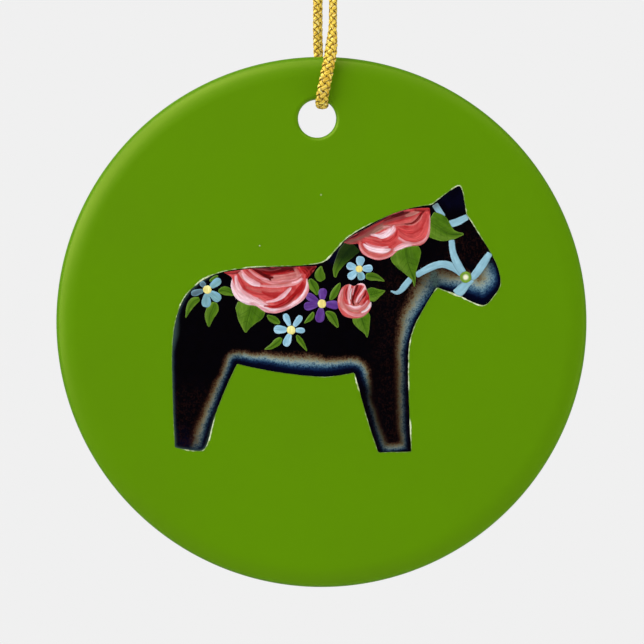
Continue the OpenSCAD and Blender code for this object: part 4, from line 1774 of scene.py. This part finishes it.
BACK_ROSE = (
    Stroke(((-11.6, 6.8, 1.2), (-11.4, 5.4, 1.4), (-10.4, 4.3, 1.5), (-8.7, 3.8, 1.4), (-6.6, 3.7, 1.5)),
           P.CORAL, P.BRICK),
    Stroke(((-12.6, 6.2, 0.5), (-12.4, 4.9, 1.2), (-11.7, 3.6, 1.4), (-10.4, 2.7, 1.2), (-8.8, 2.3, 1)),
           P.BLUSH, P.WHITE),
    Stroke(((-12.6, 5.6, 0.3), (-12.2, 4.4, 0.6), (-11.3, 3.1, 0.6), (-10, 2.5, 0.5)), P.WHITE, load=0.9),
    Stroke(((-11.8, 6.5, 0.4), (-11.6, 5.3, 0.7), (-10.9, 4.1, 0.9), (-9.5, 3.2, 1), (-8, 2.8, 0.8)),
           P.WHITE, P.BLUSH),
    Stroke(((-9.3, 2.6, 0.9), (-8.2, 1.95, 1.1), (-6.7, 1.5, 0.8), (-5, 1.8, 0.9), (-3.5, 2.6, 0.9)),
           P.BLUSH, P.WHITE),
    Stroke(((-4.2, 2.2, 0.7), (-3, 3, 0.9), (-2.2, 4, 0.8), (-1.85, 5.2, 0.6), (-2, 6, 0.3)), P.BLUSH, P.WHITE),
    Stroke(((-9.6, 3.3, 0.5), (-8.6, 2.7, 0.7), (-7.4, 2.4, 0.5)), P.WHITE, P.BLUSH),
    Stroke(((-8.6, 3.4, 0.5), (-7.4, 2.7, 0.6), (-6.2, 2.1, 0.6), (-5, 2.3, 0.6), (-3.9, 3.2, 0.7)),
           P.SALMON, P.CORAL),
    Stroke(((-10.3, 4.8, 0.5), (-8.9, 4.4, 0.8), (-7.3, 4.4, 0.9), (-5.6, 4.5, 0.7)), P.SALMON, P.CORAL, load=0.85),
    Stroke(((-8.2, 4.2, 0.4), (-6.9, 3.7, 0.9), (-5.5, 3.7, 1), (-4.4, 4.4, 0.6)), P.RED, P.BRICK, load=0.9),
    Stroke(((-7.9, 2.2, 0.3), (-6.3, 2.1, 0.5), (-4.9, 2.7, 0.7), (-3.7, 3.7, 0.9), (-2.8, 4.6, 1), (-2.4, 5.5, 0.6)),
           P.BRICK, P.RED),
    Stroke(((-4, 3.6, 0.4), (-3.1, 4.3, 0.7), (-2.6, 5.2, 0.5)), P.RED, load=0.85),
    Stroke(((-7.6, 2.75, 0.25), (-6.3, 3, 0.5), (-5.3, 3.6, 0.7), (-4.6, 4.3, 0.6), (-4.2, 4.7, 0.3)),
           P.WHITE, P.BLUSH),
    Stroke(((-6.9, 2, 0.2), (-5.6, 2.1, 0.3), (-4.4, 2.8, 0.35), (-3.5, 3.8, 0.3)), P.DEEP_RED, load=0.55, streak=0.8),
    Stroke(((-11.2, 7, 0.9), (-10.6, 6.2, 1), (-9.6, 5.5, 1), (-8.5, 5.1, 0.6)), P.PEACH, P.BLUSH),
    Stroke(((-10.9, 6.7, 0.3), (-10.3, 5.9, 0.7), (-9.3, 5.3, 0.8), (-8.4, 5, 0.4)), P.WHITE, P.BLUSH),
    Stroke(((-10.4, 7.1, 0.5), (-9.6, 6.4, 0.6), (-8.7, 5.8, 0.5), (-7.7, 5.4, 0.3)), P.SALMON, P.BRICK),
    Stroke(((-10, 7.2, 0.3), (-9.1, 6.5, 0.45), (-8.2, 6, 0.45), (-7.3, 5.75, 0.3)), P.BLUSH, P.PEACH),
    Stroke(((-8.2, 5.9, 0.6), (-6.8, 5.5, 1), (-5.2, 5.6, 1.2), (-3.6, 5.9, 1.1), (-2.8, 6.4, 0.6)),
           P.SALMON, P.BLUSH),
    Stroke(((-7.2, 5.9, 0.8), (-5.8, 6.1, 1.1), (-4.4, 6.3, 1.1), (-3.3, 6.5, 1)), P.SALMON, P.PEACH),
    Stroke(((-8.4, 5, 0.3), (-6.9, 4.9, 0.5), (-5.2, 5, 0.5), (-3.6, 5.3, 0.5), (-2.6, 5.9, 0.3)), P.BLUSH, P.PEACH),
    Stroke(((-4.1, 5.4, 0.25), (-3.3, 5.6, 0.4), (-2.7, 6, 0.25)), P.WHITE, P.BLUSH),
    Stroke(((-9.5, 7.5, 0.6), (-8, 7, 1.2), (-6.4, 7, 1.2), (-4.8, 7.2, 1.1), (-3.5, 7.4, 0.8)),
           P.DEEP_RED, streak=0.3),
    Stroke(((-9.2, 7.2, 0.4), (-8.1, 6.6, 0.7), (-7.3, 6.2, 0.7), (-6.6, 6.1, 0.3)), P.DEEP_RED, streak=0.3),
    Stroke(((-7.4, 6.9, 0.2), (-6.2, 6.6, 0.3), (-4.8, 6.7, 0.3), (-3.9, 7, 0.2)), P.RED, P.BRICK, load=0.8),
    Stroke(((-8, 6.9, 0.5), (-6.8, 6.8, 0.8), (-5.4, 6.9, 0.6), (-4.4, 7.2, 0.3)), P.RED, P.DEEP_RED),
    Stroke(((-7.5, 6.3, 0.2), (-7.1, 5.9, 0.35), (-6.9, 5.7, 0.15)), P.DEEP_RED),
    Stroke(((-6.3, 7.15, 0.3), (-5.1, 7.2, 0.5), (-4, 7.4, 0.3)), P.DEEP_RED, P.WINE),
    Stroke(((-9.6, 7.5, 0.3), (-8.3, 7.35, 0.5), (-6.9, 7.2, 0.5), (-5.6, 7.4, 0.3)), P.MAUVE, P.WINE),
    Stroke(((-10.4, 7.5, 0.2), (-8, 7.62, 0.25), (-5, 7.72, 0.25), (-2.6, 7.85, 0.2)), P.WINE, load=0.8),
    Stroke(((-3.6, 7.3, 0.5), (-3.2, 6.6, 0.7), (-3.3, 5.9, 0.4)), P.PEACH, P.SALMON, load=0.8),
    Stroke(((-2.9, 7.8, 0.7), (-2.1, 7.3, 1.6), (-1.7, 6.6, 1.3), (-2, 5.9, 0.6)), P.RED, P.DEEP_RED, streak=0.3),
    Stroke(((-2, 7.7, 0.7), (-1.3, 7.4, 0.9), (-0.8, 7.6, 0.4)), P.DEEP_RED, streak=0.3),
    Stroke(((-1.9, 6.6, 0.3), (-1.6, 7.1, 0.3), (-1.2, 7.5, 0.15)), P.BRICK, load=0.6),
    Stroke(((-13.5, 6.8, 0.15), (-12.7, 6.8, 0.5), (-11.9, 6.8, 0.6), (-11.2, 7.1, 0.4)), P.DEEP_RED, P.BRICK),
    Stroke(((-12.6, 6.2, 0.3), (-12.1, 6.4, 0.4), (-11.6, 6.5, 0.2)), P.CORAL, load=0.8),
)

NECK_ROSE = (
    Stroke(((3.1, 11, 0.6), (4.9, 11.6, 1.2), (7, 12.8, 1.6), (9.2, 13.9, 1.7), (11.5, 14.8, 1.3)), P.MAUVE, P.WINE),
    Stroke(((3.6, 10.9, 0.5), (5.2, 11.3, 0.9), (6.6, 12.1, 0.9), (7.8, 12.8, 0.6)), P.MAUVE, P.BROWN, load=0.9),
    Stroke(((4.6, 11.5, 0.3), (6.3, 12.5, 0.5), (8.2, 13.6, 0.5), (9.6, 14.4, 0.4)), P.MAUVE, P.BRICK, load=0.7),
    Stroke(((7, 12.2, 0.5), (7.8, 12.8, 0.9), (8.8, 13.3, 0.9), (9.6, 13.4, 0.4)), P.GREY_ROSE, P.BROWN),
    Stroke(((8.5, 13.5, 0.5), (10, 13.9, 1), (11.7, 14.4, 1.1), (13.2, 14.9, 0.8)), P.BRICK, P.MAUVE),
    Stroke(((8.6, 13.9, 0.2), (9.8, 14.4, 0.4), (11.2, 14.9, 0.5), (12.2, 15.1, 0.3)), P.DEEP_RED, P.WINE, load=0.9),
    Stroke(((9.2, 13.3, 0.4), (10.8, 13.5, 0.8), (12.2, 13.9, 0.8), (13.2, 14.6, 0.5)), P.SALMON, P.CORAL),
    Stroke(((11.6, 14.6, 0.4), (12.5, 14.9, 0.7), (13.4, 15.3, 0.6)), P.GREY_ROSE, P.SALMON, load=0.9),
    Stroke(((12.8, 15.4, 0.4), (13.8, 15.4, 0.6), (14.8, 15.5, 0.5)), P.DEEP_RED, P.BRICK),
    Stroke(((10.1, 12.9, 0.8), (11.3, 11.8, 1.4), (12.9, 11.4, 1.5), (14.1, 12.2, 1.3), (14.5, 13.8, 1),
            (14.5, 15.2, 0.6)),
           P.CORAL),
    Stroke(((10.6, 13, 0.6), (11.9, 12.5, 1.1), (13.1, 12.8, 1.1), (13.8, 13.8, 0.9), (14.2, 15.1, 0.5)),
           P.BRICK, P.CORAL),
    Stroke(((10.5, 12.7, 0.25), (11.7, 11.9, 0.3), (13.1, 11.9, 0.3), (14, 12.9, 0.25)), P.RED, load=0.4, streak=0.8),
    Stroke(((10.8, 13.1, 0.3), (12, 12.9, 0.3), (13.1, 13.3, 0.3), (13.6, 14.3, 0.2)), P.RED, load=0.45, streak=0.8),
    Stroke(((10.3, 12.2, 0.3), (11.4, 11.3, 0.3), (12.9, 10.9, 0.35), (14.2, 11.5, 0.3)), P.BRICK, load=0.7),
    Stroke(((10.4, 11.7, 0.4), (11.6, 10.9, 0.6), (13.1, 10.7, 0.6), (14.4, 11.4, 0.6), (14.95, 12.9, 0.5),
            (15, 14.6, 0.4)),
           P.SALMON, P.BLUSH),
    Stroke(((14.6, 11.9, 0.2), (14.9, 13.2, 0.35), (14.95, 14.8, 0.2)), P.BLUSH, P.PEACH, load=0.8),
    Stroke(((14.5, 14.9, 0.3), (14.3, 14, 0.3), (13.9, 13.2, 0.2)), P.BRICK, load=0.6),
    Stroke(((11.4, 13.45, 0.15), (12.4, 13.55, 0.3), (13.2, 14.1, 0.4), (13.7, 14.8, 0.35), (14.2, 15.3, 0.2)),
           P.DEEP_RED),
    Stroke(((11.6, 13.3, 0.12), (12.7, 13.4, 0.2), (13.5, 14, 0.2), (13.9, 14.7, 0.15)), P.PEACH, load=0.7),
    Stroke(((6.8, 12, 0.3), (7.9, 11.9, 0.6), (9.1, 12.2, 1.2), (9.8, 12.7, 1), (10, 13.1, 0.5)), P.BLUSH, P.WHITE),
    Stroke(((7.3, 12, 0.3), (8.3, 11.7, 0.6), (9.1, 12.1, 0.8), (9.6, 12.7, 0.5)), P.WHITE),
    Stroke(((8.5, 13, 0.3), (9.2, 13, 0.4), (9.7, 13, 0.2)), P.PEACH, P.BLUSH, load=0.8),
    Stroke(((5.7, 11.3, 0.6), (6.9, 11.2, 0.9), (8.2, 10.8, 0.9), (9.4, 10.9, 1.1), (10.3, 11.7, 0.8),
            (10.5, 12.6, 0.4)),
           P.CORAL, P.BRICK),
    Stroke(((6, 11.6, 0.3), (7.2, 11.4, 0.4), (8.3, 11.2, 0.35)), P.CORAL, P.SALMON, load=0.8),
    Stroke(((8.2, 10.5, 0.3), (9.3, 10.5, 0.45), (10.2, 11, 0.4)), P.RED, load=0.45),
    Stroke(((5.3, 11, 0.5), (5.6, 10.1, 0.8), (6.4, 9.4, 0.9), (7.7, 9, 0.9), (9, 9.2, 0.9), (10.1, 10, 0.7)),
           P.CORAL, P.SALMON),
    Stroke(((5.2, 10.6, 0.2), (5.6, 9.8, 0.4), (6.5, 9.05, 0.4), (7.8, 8.7, 0.35), (9.2, 9, 0.4), (10.1, 9.7, 0.4)),
           P.BLUSH, P.PEACH),
    Stroke(((5.8, 10.7, 0.3), (6.4, 10.2, 0.7), (7.6, 9.85, 0.9), (8.8, 9.8, 0.8), (9.5, 10, 0.3)), P.WHITE),
    Stroke(((6.1, 10.9, 0.2), (6.9, 10.45, 0.4), (8.2, 10.25, 0.35), (9.2, 10.3, 0.25)), P.BLUSH, load=0.8),
    Stroke(((5.5, 10.8, 0.3), (5.9, 10.2, 0.35), (6.4, 9.8, 0.2)), P.BRICK, load=0.6),
    Stroke(((10, 9.9, 0.5), (10.8, 10.3, 0.9), (11.6, 10.6, 0.7), (12.4, 10.6, 0.4)), P.WHITE, P.BLUSH),
    Stroke(((9.7, 10.3, 0.3), (10.4, 10.7, 0.35), (11, 11.1, 0.25)), P.CORAL, load=0.7),
)

ROSEBUD = (
    Stroke(((2.6, 2.2, 0.8), (3.6, 1.4, 1.2), (4.8, 1.1, 1.2), (6, 1.5, 1), (6.7, 2.4, 0.6)), P.CORAL, P.SALMON),
    Stroke(((3.1, 4.9, 0.5), (2.6, 3.9, 0.9), (2.5, 2.8, 0.9), (2.9, 1.8, 0.9), (3.6, 1, 0.6)), P.CORAL, P.PEACH),
    Stroke(((2.9, 4.5, 0.2), (2.5, 3.6, 0.35), (2.4, 2.7, 0.3)), P.BLUSH, load=0.8),
    Stroke(((3.4, 5, 0.4), (3.2, 4.1, 0.5), (3.3, 3.1, 0.5), (3.6, 2.3, 0.4)), P.BRICK, P.CORAL),
    Stroke(((3.6, 4.8, 0.25), (3.4, 4, 0.35), (3.5, 3.1, 0.25)), P.DEEP_RED, P.RED, load=0.9),
    Stroke(((4, 5.2, 0.3), (3.8, 4.4, 0.4), (3.7, 3.4, 0.35), (3.9, 2.5, 0.3)), P.BLUSH, P.WHITE),
    Stroke(((4.3, 4.9, 0.3), (4.1, 4.1, 0.4), (4.1, 3.3, 0.4), (4.2, 2.5, 0.3)), P.BRICK, P.SALMON),
    Stroke(((4.2, 4.6, 0.15), (4, 3.9, 0.2), (4, 3.1, 0.15)), P.PEARL, load=0.8),
    Stroke(((5, 5.1, 0.4), (4.7, 4.4, 0.6), (4.4, 3.6, 0.5), (4.3, 2.8, 0.4), (4.5, 2.3, 0.3)), P.DEEP_RED),
    Stroke(((4.6, 5, 0.2), (4.4, 4.3, 0.2), (4.3, 3.7, 0.15)), P.BLUSH, load=0.75),
    Stroke(((5.5, 5.1, 0.3), (5.2, 4.5, 0.5), (4.8, 3.8, 0.5), (4.5, 3, 0.3)), P.RED, P.DEEP_RED),
    Stroke(((4.9, 5.25, 0.35), (5.5, 5.25, 0.4), (6, 5, 0.4), (6.1, 4.4, 0.25)), P.BLUSH, P.WHITE),
    Stroke(((6, 4.8, 0.3), (5.6, 4.1, 0.35), (5.1, 3.4, 0.35), (4.8, 2.7, 0.3)), P.WHITE, P.BLUSH),
    Stroke(((6.1, 4.4, 0.3), (5.9, 3.7, 0.5), (5.4, 3.1, 0.4), (5, 2.5, 0.3)), P.BRICK, P.DEEP_RED),
    Stroke(((5.7, 3.7, 0.15), (5.4, 3.2, 0.25), (5.1, 2.7, 0.15)), P.BLUSH, load=0.8),
    Stroke(((6.2, 4.3, 0.4), (6.4, 3.6, 0.7), (6.2, 2.9, 0.7), (5.8, 2.5, 0.4)), P.RED),
    Stroke(((3.3, 2.4, 0.3), (4.1, 1.9, 0.6), (5, 1.8, 0.6), (5.9, 2.2, 0.5), (6.4, 2.9, 0.3)), P.SALMON, P.BLUSH),
    Stroke(((2.9, 1.9, 0.3), (3.8, 1.2, 0.5), (4.8, 0.9, 0.5), (5.8, 1.1, 0.5), (6.4, 1.7, 0.35)), P.BLUSH, P.PEACH),
    Stroke(((3.8, 2.3, 0.2), (4.6, 2, 0.3), (5.4, 2.2, 0.25)), P.WHITE, load=0.8),
    Stroke(((3.5, 2.1, 0.15), (4.2, 1.55, 0.25), (5.1, 1.4, 0.2)), P.GREY_ROSE, load=0.6),
    Stroke(((6.85, 2.8, 0.2), (6.65, 2.2, 0.5), (6.1, 1.6, 0.4), (5.5, 1.3, 0.2)), P.PEARL, P.WHITE),
)


# Flowers, leaves and straps.


@dataclass
class Flower:
    """A five-petalled flower: its middle, the radius of its centre and each petal's direction, reach and width."""

    name: str
    middle: Point
    radius: float
    petals: Sequence[Point]
    tones: Sequence[tuple[Paint, Paint]]
    finish: Finish
    slot: Slot

    def petal_area(self) -> None:
        """Meshes the petals and paints each with a stroke and a fine central line."""
        node = self.name + "_petals"
        seed = sum(map(ord, self.name)) % 60
        canvas = PrintedArea(node, gap=0.08, waver=0.025).mesh(self.name + "_brushed_petals", seed)
        canvas.ground(self.tones[0][0], self.tones[0][1], seed)
        centre = np.array(self.middle)
        for i, ((turn, reach, width), (dark, light)) in enumerate(zip(self.petals, self.tones)):
            toward = np.array([math.cos(math.radians(turn)), math.sin(math.radians(turn))])
            steps = ((0.2, 0.9), (0.5, 1.25), (0.8, 1.35), (1.05, 1.1))
            spine = [(*(centre + toward * reach * s), width * w) for s, w in steps]
            canvas.lay(spine, dark, light, 1.0, 0.25, 0.2, 40 + seed + i)
            inner = [(*(centre + toward * reach * s), width * w) for s, w in ((0.3, 0.25), (0.6, 0.5), (0.85, 0.3))]
            canvas.lay(inner, dark, dark, 0.5, 0.8, 0.5, 90 + seed + i)
        canvas.edged(self.tones[0][1], 0.16, 0.55, seed)
        canvas.finish(self.finish, self.slot, node)

    def centre_area(self) -> None:
        """Meshes and paints the flower's centre."""
        node = self.name + "_centre"
        seed = sum(map(ord, self.name)) % 60 + 3
        canvas = PrintedArea(node, gap=0.08, waver=0.05).mesh(self.name + "_dabbed_centre", seed)
        canvas.ground(Paint.BUTTER, Paint.BUTTER_DEEP, seed, 1.8)
        canvas.edged(Paint.BUTTER_DEEP, 0.15, 0.6, seed)
        canvas.finish(YELLOW_INK, Slot.YELLOW, node)


@dataclass
class LeafSpray:
    """The leaves of one CAD node, each painted along its own middle line."""

    node: str
    spines: Sequence[Sequence[Point]]
    dark_tip: float = 0.0

    def build(self) -> None:
        """Meshes the leaves and paints body, lit side, edge and veins."""
        seed = sum(map(ord, self.node)) % 70
        canvas = PrintedArea(self.node, gap=0.08, waver=0.035).mesh("brushed_" + self.node, seed)
        canvas.ground(Paint.LEAF, Paint.LEAF_DEEP, seed, 1.1)
        for i, spine in enumerate(self.spines):
            line = np.array(spine, float)
            wide = line * np.array([1, 1, 1.25])
            canvas.lay(wide, Paint.LEAF_PALE, Paint.LEAF, 0.8, 0.6, 0.7, 300 + seed + i)
            canvas.lay(line * np.array([1, 1, 0.7]), Paint.LEAF, Paint.LEAF_DEEP, 0.75, 0.9, 0.6, 330 + seed + i)
            vein = line * np.array([1, 1, 0.0]) + np.array([0, 0, 0.14])
            canvas.lay(vein, Paint.LEAF_DEEP, Paint.LEAF_DARK, 0.8, 0.9, 0.3, 360 + seed + i)
            self.side_veins(canvas, line, 390 + seed + 5 * i)
        canvas.edged(Paint.LEAF_PALE, 0.17, 0.65, seed + 1)
        if self.dark_tip:
            top = canvas.at[:, 1].max()
            canvas.tinted(Paint.LEAF_DARK, eased((canvas.at[:, 1] - top + 4.6) / 3) * self.dark_tip)
        canvas.finish(LEAF_INK, Slot.LEAF, self.node)

    @staticmethod
    def side_veins(canvas: Canvas, line: Array, seed: int) -> None:
        """Draws short veins that leave a broad leaf's middle line.

        Args:
            canvas: The leaf's area.
            line: The middle line with its widths.
            seed: Which bristles.
        """
        if line[:, 2].max() < 1.7:
            return
        fine = smooth_line(line, 8)
        for k, share in enumerate((0.25, 0.4, 0.55)):
            i = int(share * (len(fine) - 2))
            ahead = fine[i + 1, :2] - fine[i, :2]
            ahead = ahead / np.linalg.norm(ahead)
            for side in (-1, 1):
                out = ahead * 0.75 + side * np.array([-ahead[1], ahead[0]])
                reach = fine[i, 2] * 0.42
                spine = [(*(fine[i, :2] + out * reach * s), w) for s, w in ((0.05, 0.12), (0.5, 0.11), (1, 0.04))]
                canvas.lay(spine, Paint.LEAF_DEEP, Paint.LEAF_DARK, 0.55, 0.9, 0.3, seed + k)


@dataclass
class HalterStrap:
    """A painted strap of the halter."""

    node: str
    spine: Sequence[Point]
    tones: tuple[Paint, Paint] = (Paint.HALTER, Paint.HALTER_LIGHT)
    grey_start: float = 0.0

    def build(self) -> None:
        """Meshes the strap and paints it with one long stroke."""
        seed = sum(map(ord, self.node)) % 80
        canvas = PrintedArea(self.node, gap=0.08, waver=0.03).mesh("brushed_" + self.node, seed)
        canvas.ground(self.tones[0], self.tones[1], seed)
        wide = np.array(self.spine, float) * np.array([1, 1, 1.5])
        canvas.lay(wide, self.tones[1], self.tones[0], 0.8, 0.3, 0.4, 500 + seed)
        if self.grey_start:
            start = np.array(self.spine[0][:2])
            far = np.linalg.norm(canvas.at - start, axis=1)
            canvas.tinted(Paint.HALTER_GREY, eased((self.grey_start - far) / self.grey_start) * 0.95)
        canvas.edged(Paint.HALTER_GREY, 0.07, 0.35, seed)
        canvas.finish(HALTER_INK, Slot.HALTER, self.node)


@dataclass
class HalterButton:
    """The round button where the straps meet."""

    middle: Point = (19.85, 6.15)

    def build(self) -> None:
        """Meshes the button and paints its olive ring and cream middle."""
        canvas = PrintedArea("halter_button", gap=0.07, waver=0.06).mesh("dabbed_halter_button", 61)
        canvas.ground(Paint.OLIVE_RING, Paint.LEAF_PALE, 61, 1.6)
        far = np.linalg.norm(canvas.at - np.array(self.middle), axis=1)
        canvas.tinted(Paint.CREAM, eased((0.5 - far) / 0.3))
        canvas.finish(BUTTON_INK, Slot.BUTTON, "halter_button")


# The middle lines of the leaves of each CAD node: rows of x, z and the leaf's width there.
LEAF_SPRAYS = {
    "rump_flower_leaves": (
        ((-16.8, 3.2, 0.5), (-17.6, 2.8, 1.1), (-18.2, 1.9, 0.8), (-18.7, 0.5, 0.1)),
        ((-14.7, 2.7, 0.7), (-14.9, 1.9, 1.6), (-15.4, 0.8, 1.4), (-15.5, -0.7, 0.2)),
        ((-14.2, 4.2, 0.4), (-13.4, 4.3, 1.2), (-12.6, 4.1, 1), (-11.7, 3.6, 0.2)),
        ((-15.4, 5.6, 0.2), (-14.9, 5.95, 0.5), (-14.2, 6.4, 0.2)),
    ),
    "back_rose_leaf": (
        ((-9.8, 2.9, 3.4), (-9.8, 1.6, 4.2), (-10.2, 0.3, 2.8), (-10.4, -0.8, 1.1), (-10.4, -1.5, 0.2)),
    ),
    "withers_leaf": (((0, 7.7, 0.2), (-0.2, 7, 1), (-0.2, 6.4, 1.5), (0.2, 5.7, 0.9)),),
    "belly_flower_leaves": (
        ((-7.5, 0.9, 0.2), (-6.9, 0.5, 0.9), (-6.2, 0.1, 0.9), (-5.7, -0.2, 0.3)),
        ((-5.5, -2.2, 0.4), (-6, -2.7, 1), (-6.9, -3.4, 0.7), (-7.9, -3.8, 0.1)),
        ((-3.4, -1.8, 0.3), (-3, -2.5, 0.8), (-2.5, -3.2, 0.6), (-1.95, -4.1, 0.1)),
    ),
    "violet_flower_leaves": (
        ((-1.1, 1.4, 0.2), (-1.3, 0.9, 0.7), (-1.7, 0.4, 0.7), (-2.4, -0.2, 0.1)),
        ((0.6, 1.4, 0.3), (1.3, 0.9, 1.2), (1.8, 0.1, 1), (2.3, -0.8, 0.2)),
        ((-1.6, 5.9, 0.5), (-1.2, 5.1, 1.3), (-0.8, 4.4, 1), (-0.6, 3.7, 0.3)),
        ((2.6, 5.4, 0.2), (2.2, 4.7, 0.8), (1.7, 3.8, 1), (1.2, 3, 0.3)),
    ),
    "rosebud_leaves": (
        ((6.3, 3.7, 1.5), (7.1, 3.8, 2), (7.9, 4, 1.1), (8.8, 4.3, 0.1)),
        ((5.4, 1.6, 2), (5.5, 0.4, 2.5), (5.9, -0.7, 1.6), (6.2, -1.5, 0.7), (6.3, -2.2, 0.1)),
    ),
    "neck_flower_leaf": (((6.1, 6.3, 0.7), (6.8, 6.25, 1.1), (7.6, 6.1, 0.9), (8.7, 5.6, 0.1)),),
    "mane_leaf": (((4.5, 10.6, 2.4), (3.4, 9.5, 2.2), (2.6, 8.3, 1.5), (2, 7.1, 0.9), (1.9, 6.1, 0.3)),),
    "throat_leaf": (
        ((11.4, 10.4, 3.8), (11.6, 9.2, 4.3), (11.9, 8.1, 3.4), (12.3, 6.9, 1.7), (12.7, 5.9, 0.6), (12.8, 4.8, 0.1)),
    ),
    "cheek_leaf": (((14.7, 13.9, 2.9), (15.8, 13.2, 3.6), (17, 12.4, 2.8), (18.2, 12, 1.3), (19.6, 12.1, 0.2)),),
}


class Bouquet:
    """Every rose, flower, leaf and strap of the picture, in millimetres from the disc's middle."""

    def roses(self) -> list[Rose]:
        """Lists the two roses and the bud.

        Returns:
            The roses.
        """
        return [
            Rose("back_rose", (P.BRICK, P.CORAL), BACK_ROSE),
            Rose("neck_rose", (P.BRICK, P.CORAL), NECK_ROSE),
            Rose("rosebud", (P.CORAL, P.SALMON), ROSEBUD),
        ]

    def flowers(self) -> list[Flower]:
        """Lists the four small flowers.

        Returns:
            The flowers.
        """
        sky, dim, teal = (P.SKY, P.SKY_LIGHT), (P.SKY_DIM, P.SKY_DIM), (P.TEAL_GREY, P.SKY)
        violet = (P.VIOLET, P.VIOLET_LIGHT)
        rump = ((-95, 2.45, 1.3), (-40, 2.3, 1.3), (38, 2.3, 1.1), (195, 2.3, 0.9), (130, 1.4, 0.8))
        belly = ((112, 2.4, 0.9), (54, 2.4, 0.9), (-3, 1.9, 0.8), (-110, 2.4, 1.1), (178, 2.4, 1.2))
        plum = ((85, 2.15, 1.2), (150, 2.5, 1.1), (190, 2.5, 1.2), (262, 2.6, 1.3), (-5, 2.4, 1.2))
        neck = ((83, 1.75, 1.2), (163, 1.8, 1.1), (222, 2, 1.1), (285, 1.6, 1.1), (3, 1.85, 1.1))
        blue = (BLUE_INK, Slot.BLUE)
        return [
            Flower("rump_flower", (-15.7, 4.45), 0.6, rump, (teal, teal, teal, dim, dim), *blue),
            Flower("belly_flower", (-4.15, -1.1), 0.62, belly, (sky,) * 5, *blue),
            Flower("violet_flower", (0.05, 2.5), 0.6, plum, (violet,) * 5, VIOLET_INK, Slot.VIOLET),
            Flower("neck_flower", (5.2, 7.3), 0.5, neck, (sky, sky, sky, teal, sky), *blue),
        ]

    def leaves(self) -> list[LeafSpray]:
        """Lists the leaves; the mane leaf runs into the dark."""
        return [LeafSpray(node, spines, 0.9 if node == "mane_leaf" else 0.0) for node, spines in LEAF_SPRAYS.items()]

    def straps(self) -> list[HalterStrap]:
        """Lists the straps of the halter.

        Returns:
            The straps.
        """
        light = (P.HALTER_LIGHT, P.HALTER)
        end = ((12.3, 6, 0.8), (11.5, 5, 0.9), (10.9, 4.3, 0.7), (10.3, 4, 0.5), (9.5, 4.3, 0.2))
        return [
            HalterStrap("poll_strap", ((15.6, 16.2, 0.9), (16.1, 15.4, 0.9), (16.7, 14.4, 0.9)), grey_start=1.3),
            HalterStrap("brow_band", ((17.5, 13.4, 1), (18.8, 13.8, 1), (20.1, 14.5, 0.8))),
            HalterStrap("cheek_strap", ((17.9, 11.3, 0.8), (18.1, 9.6, 0.9), (18.7, 8, 1.1), (19.5, 6.7, 1))),
            HalterStrap("nose_band", ((23.2, 9.5, 0.8), (22.3, 8.1, 1.1), (21.3, 6.7, 1.1), (20.6, 5.9, 0.8))),
            HalterStrap("chin_strap", ((20.8, 5.9, 0.7), (20, 5.2, 1), (19.2, 4.4, 1.4), (18.5, 3.8, 1.3)), light),
            HalterStrap("rein", ((19.4, 6.5, 0.8), (18.2, 7.5, 1.1), (16.6, 7.95, 1), (15, 7.5, 1), (13, 6.4, 0.8))),
            HalterStrap("rein_end", end),
        ]

    def build(self) -> None:
        """Builds the whole bouquet and the halter."""
        for rose in self.roses():
            rose.build()
        for flower in self.flowers():
            flower.petal_area()
            flower.centre_area()
        for spray in self.leaves():
            spray.build()
        for strap in self.straps():
            strap.build()
        HalterButton().build()


# The whole ornament.


def main() -> None:
    """Builds the studio, the cord, the disc and the picture, in that order."""
    logging.basicConfig(level=logging.INFO, format="%(name)s: %(message)s")
    Studio(Vector((0.00008, 0.0, DISC_Z * MM - 0.00001))).build()
    BraidedCord().build()
    GlazedDisc().build()
    picture = HorsePicture()
    picture.horse()
    picture.keyline()
    Bouquet().build()


if __name__ == "__main__":
    main()
